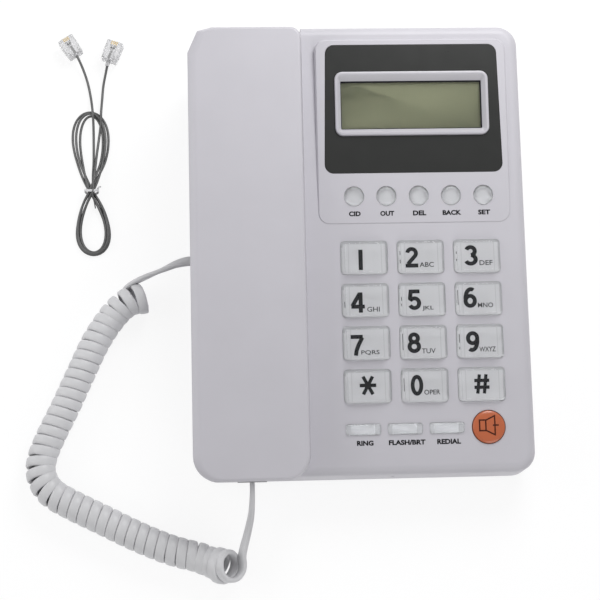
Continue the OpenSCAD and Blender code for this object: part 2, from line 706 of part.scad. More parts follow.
hook_point = face_point(hs_x, hook_y, -deck_drop);
hook_top = hook_point[2] - hook_d / 2 * tan(face_tilt) - 0.1;
module hook_hole() translate([hook_point[0], hook_point[1], hook_flange_z])
    cylinder(d = hook_d + 2 * hook_play, h = FAR);
module hook_plunger() color(WHITE) translate([hook_point[0], hook_point[1], 0])
    rotate_extrude() polygon([[0, hook_flange_z], [hook_flange_d / 2, hook_flange_z],
        [hook_flange_d / 2, hook_flange_z + 1.6], [hook_d / 2, hook_flange_z + 1.6],
        [hook_d / 2, hook_top - 1], [hook_d / 2 - 1, hook_top], [0, hook_top]]);
module hook_switch_body() color(DARK) translate([hook_point[0], hook_point[1], floor_top])
    difference() {
        translate([-9, -6, 0]) cube([18, 12, hook_base_h]);
        translate([0, 0, hook_base_h - 1]) cylinder(d = 5, h = 2);
    }
module hook_spring() color(STEEL) translate([hook_point[0], hook_point[1], 0]) {
    low = floor_top + hook_base_h + spring_wire / 2;
    high = hook_flange_z - spring_wire / 2;
    steps = 8 * spring_turns;
    tube([for (i = [0 : steps]) let (a = 360 * spring_turns * i / steps)
        [spring_r * cos(a), spring_r * sin(a), low + (high - low) * i / steps]],
        spring_wire / 2, 6);
}

// The tab that hangs the handset when the telephone is on a wall, in a slot by the ear well
hanger_w = 12;
hanger_t = 2;
module hanger_at() on_face()
    translate([hs_x, ear_y + ear_well / 2 + 3.1, -deck_drop]) children();
module hanger_hole() hanger_at() translate([-hanger_w / 2 - 0.1, -0.1, -8])
    cube([hanger_w + 0.2, hanger_t + 0.2, 20]);
module wall_hanger() color(WHITE) hanger_at() {
    translate([-hanger_w / 2, 0, -6]) cube([hanger_w, hanger_t, 5.8]);
    translate([-hanger_w / 2 + 2, 0, -7.6]) cube([hanger_w - 4, hanger_t, 1.6]);
}

// ---------------------------------------------------------------- keys and buttons

// A number key: a cap with sloping ends over a flange that the skin holds down
module number_key(i) color(CLEAR) on_face()
    translate([keypad_x + (i % 3 - 1) * key_pitch_x,
        keypad_y + (1.5 - floor(i / 3)) * key_pitch_y, 0]) {
        w = key_w - 2 * key_gap;
        l = key_l - 2 * key_gap;
        hull() {
            plate(round_rect(w, l, key_r), -1, 0.4);
            plate(round_rect(w - 3.6, l - 1.6, 1.2), -1, key_rise);
        }
        plate(round_rect(w, l, key_r), flange_low, 0);
        plate(round_rect(key_w + 2 * flange_w, key_l + 2 * flange_w, 1), flange_low, under_skin);
    }

// A round button with a domed top, its axis on z, under a skin whose lower face is at skin_z
module dome_button(hole_d, rise, skin_z) {
    r = hole_d / 2 - key_gap;
    low = skin_z - SKIN_GAP - flange_t;
    rotate_extrude() polygon(concat(
        [[0, low], [hole_d / 2 + flange_w, low], [hole_d / 2 + flange_w, low + flange_t],
         [r, low + flange_t]],
        [for (k = [0 : ARC_STEPS]) let (a = 90 * k / ARC_STEPS) [r * cos(a), rise * sin(a)]]));
}

round_skin = -wall - plinth_step - (round_y - plinth_y) * tan(plinth_tilt) - 0.2;
module round_button(i) color(CLEAR) on_plinth()
    translate([keypad_x - plinth_x + (i - 2) * round_pitch, round_y - plinth_y, 0])
        dome_button(round_d, round_rise, round_skin);

module function_key(i) color(CLEAR) on_face()
    translate([func_x + (i - 1) * func_pitch, func_y, 0]) {
        bevel_plate(func_w - 2 * key_gap, func_l - 2 * key_gap, 1, flange_low, func_rise, 0.6);
        plate(round_rect(func_w + 2 * flange_w, func_l + 2 * flange_w, 1), flange_low,
            under_skin);
    }

module button_speaker() color(ORANGE) on_face() translate([speaker_x, func_y, 0])
    dome_button(speaker_d, speaker_rise, -wall);

// ---------------------------------------------------------------- the handset

// The handset under its parting line, drawn in by inset
module hs_lower_form(inset) {
    low = -deck_drop + inset;
    grip = -grip_drop + inset;
    intersection() {
        plate(hs_outline(-inset), -deck_drop - 1, hs_split + (inset > 0 ? 1 : 0));
        rotate([90, 0, 90]) translate([0, 0, hs_x - hs_w]) linear_extrude(2 * hs_w)
            polygon([[-base_l, low], [recess_front - 4, low], [recess_front + 5, grip],
                [recess_rear - 5, grip], [recess_rear + 4, low], [base_l, low],
                [base_l, FAR], [-base_l, FAR]]);
    }
    cup(ear_y, ear_cup, ear_cup, ear_cup_drop, inset);
    cup(mouth_y, mouth_cup_w, mouth_cup_l, mouth_cup_drop, inset);
}
module cup(y, w, l, drop, inset) translate([hs_x, y, 0])
    plate(round_rect(w - 2 * inset, l - 2 * inset, cup_r - inset), -deck_drop - drop + inset, 0);

module handset_bottom_shell() color(WHITE) on_face() difference() {
    union() {
        difference() {
            hs_lower_form(0);
            hs_lower_form(hs_wall);
        }
        for (p = hs_screws) translate([p[0], p[1], -deck_drop])
            cylinder(d = hs_boss_d, h = deck_drop + hs_split);
    }
    for (p = hs_screws) translate([p[0], p[1], -deck_drop - 1]) {
        cylinder(d = hs_screw_d + 2 * BORE_GAP, h = FAR / 2);
        cylinder(d = hs_screw_head_d + 0.4, h = hs_screw_sink + 1);
    }
    for (r = [0, 5, 10], a = [0 : 60 : 359]) if (r > 0 || a == 0)
        translate([hs_x + r * cos(a), ear_y + r * sin(a), -deck_drop - ear_cup_drop - 1])
            cylinder(d = 2, h = hs_wall + 2, $fn = 24);
    for (i = [-1 : 1]) translate([hs_x + 4 * i, mouth_y, -deck_drop - mouth_cup_drop - 1])
        cylinder(d = 1.6, h = hs_wall + 2, $fn = 24);
    translate([hs_x - 6.5, -hs_front - 1, hs_jack_z - jack4_h / 2 - latch_h - 0.2])
        cube([13, hs_wall + 1, jack4_h + latch_h + 0.4]);
}

module handset_top_shell() color(WHITE) on_face() difference() {
    union() {
        difference() {
            hull() {
                plate(hs_outline(0), hs_split, hs_top - hs_bevel);
                plate(hs_outline(-0.7, 1.2), hs_split, hs_top - hs_bevel / 4);
                plate(hs_outline(-1.6, hs_bevel_w - 1.6), hs_split, hs_top);
            }
            plate(hs_outline(-hs_wall), hs_split - 1, hs_top - hs_wall);
        }
        for (p = hs_screws) translate([p[0], p[1], hs_split])
            cylinder(d = hs_boss_d, h = hs_top - hs_wall - hs_split);
    }
    for (p = hs_screws) translate([p[0], p[1], hs_split - 1])
        cylinder(d = hs_screw_d + 2 * BORE_GAP, h = hs_screw_bite + 2);
}

module handset_screws() color(STEEL) on_face()
    for (p = hs_screws) translate([p[0], p[1], hs_screw_sink - deck_drop])
        screw(hs_screw_d, hs_screw_head_d, 1.6,
            deck_drop - hs_screw_sink + hs_split + hs_screw_bite);

module earpiece_capsule() color(DARK) on_face()
    translate([hs_x, ear_y, -deck_drop - ear_cup_drop + hs_wall]) {
        cylinder(d = capsule_d, h = capsule_h - 3);
        translate([0, 0, capsule_h - 3]) cylinder(d = capsule_d - 14, h = 3);
    }

module handset_microphone() color(STEEL) on_face()
    translate([hs_x, mouth_y, -deck_drop - mouth_cup_drop + hs_wall])
        cylinder(d = mic_d, h = mic_h);

module handset_weight() color(GREY) on_face()
    translate([hs_x, (recess_front + recess_rear) / 2, -grip_drop + hs_wall])
        translate([-weight_size[0] / 2, -weight_size[1] / 2, 0]) cube(weight_size);

// ---------------------------------------------------------------- cords

function unit(v) = v / norm(v);
function heading(p, i) = unit(p[min(i + 1, len(p) - 1)] - p[max(i - 1, 0)]);

// A tube of radius r with n sides along the points p
module tube(p, r, n) {
    points = [for (i = [0 : len(p) - 1]) let (t = heading(p, i),
            side = unit(cross(t, abs(t[2]) > 0.9 ? [1, 0, 0] : [0, 0, 1])), up = cross(side, t))
        for (j = [0 : n - 1]) p[i] + r * (cos(360 * j / n) * side + sin(360 * j / n) * up)];
    last = (len(p) - 1) * n;
    polyhedron(points, concat(
        [[for (j = [0 : n - 1]) j]],
        [[for (j = [0 : n - 1]) last + n - 1 - j]],
        [for (i = [0 : len(p) - 2], j = [0 : n - 1]) let (k = (j + 1) % n)
            each [[i * n + j, (i + 1) * n + j, (i + 1) * n + k],
                  [i * n + j, (i + 1) * n + k, i * n + k]]]));
}

// Catmull-Rom points through a route, n to each stretch
function smooth(p, n) = [for (i = [0 : len(p) - 2], k = [0 : i == len(p) - 2 ? n : n - 1])
    let (a = p[max(i - 1, 0)], b = p[i], c = p[i + 1], d = p[min(i + 2, len(p) - 1)], t = k / n)
    0.5 * (2 * b + (c - a) * t + (2 * a - 5 * b + 4 * c - d) * t * t
        + (3 * b - a - 3 * c + d) * t * t * t)];

coil_path = smooth([for (q = coil_route) [q[0], q[1], coil_z]], 2);
coil_end = coil_path[len(coil_path) - 1];
module curly_cord_coil() color(WHITE) tube(coil_path, coil_d / 2, 12);

module base_cord_lead() color(WHITE) {
    tail = [base_left + 0.3 - plug_proud, base_jack_y, base_jack_z];
    tube(concat([tail],
        smooth(concat([tail - [stub, 0, 0]], base_lead_route,
            [coil_path[0] - stub * heading(coil_path, 0)]), 2),
        [coil_path[0]]), lead_d / 2, 8);
}

module handset_cord_lead() color(WHITE)
    tube(concat([coil_end],
        smooth(concat([coil_end + stub * heading(coil_path, len(coil_path) - 1)], hs_lead_route,
            [face_point(hs_x, -hs_front - 3, hs_jack_z),
             face_point(hs_x, -hs_front - 0.2 - stub, hs_jack_z)]), 2),
        [face_point(hs_x, -hs_front - 0.2, hs_jack_z)]), lead_d / 2, 8);

// One loop of the hank, from the waist at y to its far end
module hank_loop(q, y) linear_extrude(hank_h) hull() {
    translate([q[0], q[1]]) circle(d = q[2]);
    translate([hank_waist[0] - hank_waist[2] / 2, y]) square([hank_waist[2], 1]);
}
module line_cord_hank() color(DARK) {
    half = hank_waist[3] / 2;
    hank_loop(hank_upper, hank_waist[1] + half - 1);
    hank_loop(hank_lower, hank_waist[1] - half);
    translate([hank_waist[0] - hank_waist[2] / 2, hank_waist[1] - half, tie_t])
        cube([hank_waist[2], hank_waist[3], hank_h - tie_t]);
}
module line_lead(route, plug_at) {
    tail = [plug_at[0], plug_at[1], line_plug_z];
    back = stub * [sin(plug_at[2]), -cos(plug_at[2]), 0];
    tube(concat(smooth(concat(route, [tail + back]), 2), [tail]), line_d / 2, 8);
}
module line_cord_leads() color(DARK) {
    line_lead(lead_a_route, plug_a);
    line_lead(lead_b_route, plug_b);
}
module line_plugs() color(CLEAR) for (p = [plug_a, plug_b])
    translate([p[0], p[1], line_plug_z]) rotate([0, 0, p[2]])
        plug(line_plug[0], line_plug[2], line_plug[1]);
module line_cord_tie() color(WHITE) translate([hank_waist[0], hank_waist[1], 0])
    rotate([90, 0, 0]) translate([0, 0, -tie_w / 2]) linear_extrude(tie_w) difference() {
        translate([-hank_waist[2] / 2 - tie_t, 0]) square([hank_waist[2] + 2 * tie_t,
            hank_h + tie_t]);
        translate([-hank_waist[2] / 2, tie_t]) square([hank_waist[2], hank_h - tie_t]);
    }

// ---------------------------------------------------------------- nodes

base_top_housing();
base_lower_housing();
display_panel();
lcd_frame();
lcd_window();
lcd_module();
main_board();
keypad_membrane();
loudspeaker();
base_microphone();
line_jack();
base_handset_jack();
hook_plunger();
hook_spring();
hook_switch_body();
wall_hanger();
rubber_feet();
housing_screws();
battery_door();
battery_contacts();
for (i = [0 : len(DIGITS) - 1])
    number_key(i);
for (i = [0 : len(ROUND_NAMES) - 1])
    round_button(i);
for (i = [0 : len(FUNC_NAMES) - 1])
    function_key(i);
button_speaker();
handset_top_shell();
handset_bottom_shell();
earpiece_capsule();
handset_microphone();
handset_weight();
handset_jack();
handset_screws();
handset_plug();
base_plug();
curly_cord_coil();
base_cord_lead();
handset_cord_lead();
line_cord_hank();
line_cord_leads();
line_plugs();
line_cord_tie();
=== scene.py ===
import math

import bmesh
import bpy
from mathutils import Matrix, Vector


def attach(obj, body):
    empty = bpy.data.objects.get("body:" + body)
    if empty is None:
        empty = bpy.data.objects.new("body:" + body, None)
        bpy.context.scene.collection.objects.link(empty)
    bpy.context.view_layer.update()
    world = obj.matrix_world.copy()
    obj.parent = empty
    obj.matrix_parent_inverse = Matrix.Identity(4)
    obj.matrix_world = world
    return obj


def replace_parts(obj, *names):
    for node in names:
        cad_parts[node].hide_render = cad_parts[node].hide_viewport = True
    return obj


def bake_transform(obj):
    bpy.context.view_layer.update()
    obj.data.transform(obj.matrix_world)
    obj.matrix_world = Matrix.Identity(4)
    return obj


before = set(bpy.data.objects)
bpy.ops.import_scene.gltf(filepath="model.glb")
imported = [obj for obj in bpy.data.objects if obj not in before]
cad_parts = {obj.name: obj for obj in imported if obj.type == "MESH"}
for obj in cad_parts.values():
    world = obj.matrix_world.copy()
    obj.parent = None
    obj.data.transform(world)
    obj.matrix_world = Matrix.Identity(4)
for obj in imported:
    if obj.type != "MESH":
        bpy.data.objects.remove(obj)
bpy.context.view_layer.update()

MM = 0.001

# ------------------------------------------------------------------ frames
def moved(start, x, y, z=0.0, tilt=0.0):
    """A frame moved by mm along its own axes, then tilted about its X by degrees."""
    turn = Matrix.Rotation(math.radians(tilt), 4, "X")
    return start @ Matrix.Translation((x * MM, y * MM, z * MM)) @ turn


# the tilted face with the keys, and the display plinth on it, where part.scad has them
FACE = moved(Matrix(), 0, 1.519, 38, 8)
PLINTH = moved(FACE, 24.5, 9.2, 0.3, 1.6)
HANDSET_X = -49.65    # the handset's middle line and the height of its jack, in the face's frame
JACK_Z = -1.2
UP = Vector((0, 0, 1))


def on_face(x, y, z):
    """A point in mm in the face's frame, in mm in the whole part's frame."""
    return FACE @ Vector((x * MM, y * MM, z * MM)) / MM


# ------------------------------------------------------------------ camera
CAMERA_PLACE = (-0.0563, -0.1717, 0.6089)
CAMERA_FORWARD = (0.0489, 0.2518, -0.9665)
CAMERA_UP = (0.0174, 0.9673, 0.2529)
LENS, SENSOR = 81.36, 36      # in mm


def make_camera():
    data = bpy.data.cameras.new("view")
    data.sensor_width = SENSOR
    data.lens = LENS
    data.clip_start = 0.01
    cam = bpy.data.objects.new("view", data)
    bpy.context.scene.collection.objects.link(cam)
    forward = Vector(CAMERA_FORWARD).normalized()
    right = forward.cross(Vector(CAMERA_UP)).normalized()
    up = right.cross(forward)
    turn = Matrix((right, up, -forward)).transposed().to_4x4()
    cam.matrix_world = Matrix.Translation(CAMERA_PLACE) @ turn
    bpy.context.scene.camera = cam


make_camera()


# ------------------------------------------------------------------ mesh helpers
def add_object(name, data, body=None, material=None, matrix=None):
    """A new piece in the scene, with its body, material slot, material and place."""
    obj = bpy.data.objects.new(name, data)
    bpy.context.scene.collection.objects.link(obj)
    if matrix is not None:
        obj.matrix_world = matrix
    if material is not None:
        data.materials.append(material)
    if body:
        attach(obj, body)
    return obj


def mesh_from(name, verts, faces, smooth=True):
    mesh = bpy.data.meshes.new(name)
    mesh.from_pydata([tuple(v) for v in verts], [], faces)
    mesh.update()
    bm = bmesh.new()
    bm.from_mesh(mesh)
    bmesh.ops.recalc_face_normals(bm, faces=bm.faces)
    bm.to_mesh(mesh)
    bm.free()
    if smooth:
        mesh.shade_smooth()
    return mesh


def round_rect(w, l, r, n):
    """Points round a rectangle w by l with corners of radius r, n steps to a corner."""
    points = []
    for cx, cy, start in ((w / 2 - r, l / 2 - r, 0), (r - w / 2, l / 2 - r, 90),
                          (r - w / 2, r - l / 2, 180), (w / 2 - r, r - l / 2, 270)):
        for i in range(n + 1):
            a = math.radians(start + 90 * i / n)
            points.append((cx + r * math.cos(a), cy + r * math.sin(a)))
    return points


def loft(name, rings, ends="both", smooth=True):
    """A skin through rings of points in mm, all with the same number of points.

    ends is which end is closed, both, top or none, or joined where the last ring meets the first.
    """
    n, count = len(rings[0]), len(rings)
    verts = [Vector(p) * MM for ring in rings for p in ring]
    faces = []
    for k in range(count if ends == "joined" else count - 1):
        above = (k + 1) % count
        for i in range(n):
            j = (i + 1) % n
            faces.append((k * n + i, k * n + j, above * n + j, above * n + i))
    if ends == "both":
        faces.append(tuple(range(n))[::-1])
    if ends in ("both", "top"):
        faces.append(tuple(range((count - 1) * n, count * n)))
    return mesh_from(name, verts, faces, smooth)


def prism(name, rings, sharp=30, ends="both"):
    """A loft that keeps its edges sharp where they turn by more than some degrees."""
    mesh = loft(name, rings, ends)
    mesh.set_sharp_from_angle(angle=math.radians(sharp))
    return mesh


def rects(rows, dx=0.0, n=5):
    """Rings of rounded rectangles; a row is width, length, corner, height and maybe middle y."""
    return [[(x + dx, y + (middle[0] if middle else 0.0), z) for x, y in round_rect(w, l, r, n)]
            for w, l, r, z, *middle in rows]


def discs(rows, n=40):
    """Round rings from rows of radius and height."""
    turns = [2 * math.pi * k / n for k in range(n)]
    return [[(r * math.cos(a), r * math.sin(a), z) for a in turns] for r, z in rows]


def slab(outline, levels):
    """One outline at several heights."""
    return [[(x, y, z) for x, y in outline] for z in levels]


# ------------------------------------------------------------------ lines and cords
def catmull(points, steps):
    """A Catmull-Rom curve through points, in so many steps from one to the next."""
    out = []
    last = len(points) - 1
    for i in range(last):
        a, b = points[max(i - 1, 0)], points[i]
        c, d = points[i + 1], points[min(i + 2, last)]
        for k in range(steps):
            t = k / steps
            out.append(0.5 * (2 * b + (c - a) * t + (2 * a - 5 * b + 4 * c - d) * t * t
                              + (3 * b - a - 3 * c + d) * t ** 3))
    out.append(points[last].copy())
    return out


def resample(points, step):
    """The same line with points at equal steps."""
    lengths = [0.0]
    for p, q in zip(points, points[1:]):
        lengths.append(lengths[-1] + (q - p).length)
    total = lengths[-1]
    n = max(2, round(total / step))
    out, k = [], 0
    for i in range(n + 1):
        s = total * i / n
        while k < len(points) - 2 and lengths[k + 1] < s:
            k += 1
        span = lengths[k + 1] - lengths[k]
        out.append(points[k].lerp(points[k + 1], 0 if span == 0 else (s - lengths[k]) / span))
    return out


def smooth(t):
    """0 below 0, 1 above 1, and an even rise between."""
    t = min(max(t, 0), 1)
    return t * t * (3 - 2 * t)


def vec(rows):
    """Vectors from rows of x, y and z."""
    return [Vector(r) for r in rows]


def way_at(points, i):
    """The direction of a line at its point i."""
    return (points[min(i + 1, len(points) - 1)] - points[max(i - 1, 0)]).normalized()


def squared(part, power):
    """A sine or cosine that makes a circle squarer, the more the lower the power."""
    return math.copysign(abs(part) ** power, part)


def band(name, points, thins, wide, thick, sides=12):
    """A flat cord along points in mm; thins gives the direction of its thin side at each."""
    rings = []
    for i, p in enumerate(points):
        t = way_at(points, i)
        u = thins[i] - t * thins[i].dot(t)
        u.normalize()
        v = t.cross(u)
        ring = []
        for k in range(sides):
            a = 2 * math.pi * k / sides
            x = squared(math.cos(a), 0.55) * wide / 2
            y = squared(math.sin(a), 0.8) * thick / 2
            ring.append(p + v * x + u * y)
        rings.append(ring)
    return loft(name, rings)


# ------------------------------------------------------------------ curly cord
COIL_R = 5.55     # radius of the cord's middle line in its turns
CORD_WIDE = 4.55
CORD_THICK = 2.2
COIL_Z = 6.9      # height of the coil's axis where it lies on the floor
TURN_STEPS = 24
COIL_STEPS = 42 * TURN_STEPS - 1
COIL_START = 210  # where the first turn begins, in degrees from its top
# how many mm wider the turns are at the start, at the end and shortly before it, over how many
# steps that fades, and how many steps before the end the last of them is
LOOSE_START, LOOSE_END, BULGE = (0.5, 36), (0.5, 30), (1.2, 22, 34)
LEAD_STEPS = 8
EDGE_AT = 36      # the step of the base lead at which the flat cord stands on edge
BASE_EXIT = Vector((-74.05, 2.0, 15.2))
# the axis of the coil, from its base end to its handset end
COIL_ROUTE = vec([(-97.2, -13.3, 8.7), (-100.3, -13.8, 9.2), (-104, -15.0, 9.2),
                  (-107.8, -17.7, 8.3), (-112.3, -22.5, 7.1),
                  (-119, -33, COIL_Z), (-126, -48.5, COIL_Z), (-132.4, -63, COIL_Z),
                  (-138.6, -76, COIL_Z), (-142.2, -86, COIL_Z), (-142, -93.5, COIL_Z),
                  (-137.5, -100.5, COIL_Z), (-128, -106.3, COIL_Z), (-115.5, -112.6, COIL_Z),
                  (-100.5, -120.2, COIL_Z), (-85.5, -126.6, COIL_Z), (-74, -129.9, 7.0),
                  (-70.4, -131.4, 7.5), (-67, -132.8, 8.7), (-64.1, -134.0, 10.4),
                  (-61.2, -134.7, 12.6), (-58.7, -134.8, 15.2)])


def carry(points, thin, goal):
    """The thin side along a lead: carried on without a twist, then turned evenly to its goal."""
    last = len(points) - 1
    ways = [way_at(points, i) for i in range(last + 1)]
    out = []
    for t in ways:
        thin = (thin - t * thin.dot(t)).normalized()
        out.append(thin)
    goal = (goal - ways[-1] * goal.dot(ways[-1])).normalized()
    turn = math.atan2(ways[-1].dot(out[-1].cross(goal)), out[-1].dot(goal))
    angles = [turn * smooth(i / last) for i in range(last + 1)]
    return [w * math.cos(a) + t.cross(w) * math.sin(a) for t, w, a in zip(ways, out, angles)]


def looseness(k):
    """How many mm wider than COIL_R the coil is at step k."""
    left = COIL_STEPS - k
    loose = LOOSE_START[0] * max(0, 1 - k / LOOSE_START[1])
    loose += LOOSE_END[0] * max(0, 1 - left / LOOSE_END[1])
    wide, span, place = BULGE
    return loose + wide * max(0, 1 - ((left - place) / span) ** 2)


def coil():
    """The cord's middle line in its turns, and the direction of its thin side, in mm."""
    line = resample(catmull(COIL_ROUTE, 12), 0.5)
    count = len(line)
    path, thins = [], []
    for k in range(COIL_STEPS + 1):
        s = k / COIL_STEPS * (count - 1)
        i = min(int(s), count - 2)
        centre = line[i].lerp(line[i + 1], s - i)
        axis = (line[min(i + 4, count - 1)] - line[max(i - 4, 0)]).normalized()
        u = (UP - axis * UP.dot(axis)).normalized()
        side = axis.cross(u)
        angle = 2 * math.pi * k / TURN_STEPS + math.radians(COIL_START)
        out = u * math.cos(angle) + side * math.sin(angle)
        path.append(centre + out * (COIL_R + looseness(k)))
        thins.append(out)
    return path, thins


def curly_cord():
    """The whole cord from the base plug to the handset plug, and its middle line in metres."""
    path, thins = coil()
    first, last = path[0], path[-1]
    into = (path[1] - path[0]).normalized()
    away = (path[-1] - path[-2]).normalized()

    lead_a = catmull([BASE_EXIT, BASE_EXIT + Vector((-3, 0, 0))] + vec([
        (-82, 0.9, 15.0), (-88.5, -1.7, 14.5), (-95, -4.1, 13.6), (-100.5, -6.2, 12.0),
        (-104.4, -8.0, 9.3), (-105.6, -9.0, 5.6), (-104.0, -10.0, 2.4), (-100.9, -11.3, 1.4)])
        + [first - into * 2.6, first], LEAD_STEPS)
    end = on_face(HANDSET_X, -102.2, JACK_Z)
    out_dir = (on_face(HANDSET_X, -106.5, JACK_Z) - end).normalized()
    lead_b = catmull([last, last + away * 4.2, Vector((-51.7, -119.3, 12.5)),
                      Vector((-50.2, -112.5, 15.5)), end + out_dir * 5, end], LEAD_STEPS)
    way = (lead_a[EDGE_AT + 1] - lead_a[EDGE_AT - 1]).normalized()
    edge = way.cross(UP).normalized()
    thin_a = carry(lead_a[:EDGE_AT + 1], UP, edge)[:-1]
    thin_a += carry(lead_a[EDGE_AT:][::-1], thins[0], edge)[::-1]
    thin_b = carry(lead_b, thins[-1], Vector((1, 0, 0)))
    path = lead_a[:-1] + path + lead_b[1:]
    thins = thin_a[:-1] + thins + thin_b[1:]
    cord = add_object("curly_cord", band("curly_cord", path, thins, CORD_WIDE, CORD_THICK))
    return cord, [p * MM for p in path]


def make_curly():
    cord, path = curly_cord()
    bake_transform(cord)
    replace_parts(cord, "curly_cord_coil", "base_cord_lead", "handset_cord_lead")
    return cord


curly = make_curly()


# ------------------------------------------------------------------ materials
COAT_ROUGH = 0.1


def nodes_of(name, rough, metallic=0.0, ior=1.46, coat=0.0, transmission=0.0, specular=0.5):
    """A new material, its tree, its shader and the node of its coordinates."""
    mat = bpy.data.materials.new(name)
    mat.use_nodes = True
    tree = mat.node_tree
    shader = tree.nodes["Principled BSDF"]
    shader.inputs["Roughness"].default_value = rough
    shader.inputs["Metallic"].default_value = metallic
    shader.inputs["IOR"].default_value = ior
    shader.inputs["Specular IOR Level"].default_value = specular
    shader.inputs["Coat Weight"].default_value = coat
    shader.inputs["Coat Roughness"].default_value = COAT_ROUGH
    shader.inputs["Transmission Weight"].default_value = transmission
    coords = tree.nodes.new("ShaderNodeTexCoord")
    return mat, tree, shader, coords


def noise(tree, coords, scale, detail, stretch=None):
    """Noise fixed to the object."""
    tex = tree.nodes.new("ShaderNodeTexNoise")
    tex.inputs["Scale"].default_value = scale
    tex.inputs["Detail"].default_value = detail
    if stretch is None:
        tree.links.new(coords.outputs["Object"], tex.inputs["Vector"])
    else:
        mapping = tree.nodes.new("ShaderNodeMapping")
        mapping.inputs["Scale"].default_value = stretch
        tree.links.new(coords.outputs["Object"], mapping.inputs["Vector"])
        tree.links.new(mapping.outputs["Vector"], tex.inputs["Vector"])
    return tex


def ramp(tree, source, low, high, spread=0.25):
    """Colours between low and high, as the source goes."""
    node = tree.nodes.new("ShaderNodeValToRGB")
    node.color_ramp.elements[0].position = 0.5 - spread
    node.color_ramp.elements[1].position = 0.5 + spread
    node.color_ramp.elements[0].color = (*low, 1)
    node.color_ramp.elements[1].color = (*high, 1)
    tree.links.new(source, node.inputs["Fac"])
    return node


def bump(tree, shader, source, strength, distance):
    """Fine relief, its depth in metres."""
    node = tree.nodes.new("ShaderNodeBump")
    node.inputs["Strength"].default_value = strength
    node.inputs["Distance"].default_value = distance
    tree.links.new(source, node.inputs["Height"])
    tree.links.new(node.outputs["Normal"], shader.inputs["Normal"])


def shade(colour, k):
    """A colour k times as bright."""
    return tuple(min(1.0, c * k) for c in colour)


def moulded(name, colour, rough=0.4, vary=0.02, grain=2600, depth=0.00001, strength=0.25,
            rough_vary=0.05, **more):
    """Moulded plastic or rubber: faint cloudiness, a spark-eroded grain and uneven gloss."""
    mat, tree, shader, coords = nodes_of(name, rough, **more)
    cloud = noise(tree, coords, 45, 3)
    tint = ramp(tree, cloud.outputs["Fac"], shade(colour, 1 - vary), shade(colour, 1 + vary))
    tree.links.new(tint.outputs["Color"], shader.inputs["Base Color"])
    fine = noise(tree, coords, grain, 1)
    bump(tree, shader, fine.outputs["Fac"], strength, depth)
    gloss = tree.nodes.new("ShaderNodeMapRange")
    gloss.inputs["To Min"].default_value = rough - rough_vary
    gloss.inputs["To Max"].default_value = rough + rough_vary
    tree.links.new(noise(tree, coords, 160, 2).outputs["Fac"], gloss.inputs["Value"])
    tree.links.new(gloss.outputs["Result"], shader.inputs["Roughness"])
    return mat


def metal(name, colour, rough):
    """Drawn or rolled metal with fine lines across Z."""
    mat, tree, shader, coords = nodes_of(name, rough, metallic=1.0)
    lines = noise(tree, coords, 900, 2, (1, 1, 12))
    tint = ramp(tree, lines.outputs["Fac"], shade(colour, 0.86), colour)
    tree.links.new(tint.outputs["Color"], shader.inputs["Base Color"])
    bump(tree, shader, lines.outputs["Fac"], 0.2, 0.00002)
    return mat


def clear(name, tint, rough=0.04, ior=1.27):
    """Clear plastic with a faint unevenness in its skin."""
    mat, tree, shader, coords = nodes_of(name, rough, ior=ior, transmission=1.0)
    cloud = noise(tree, coords, 120, 2)
    look = ramp(tree, cloud.outputs["Fac"], shade(tint, 0.98), tint)
    tree.links.new(look.outputs["Color"], shader.inputs["Base Color"])
    bump(tree, shader, noise(tree, coords, 350, 1).outputs["Fac"], 0.04, 0.00005)
    return mat


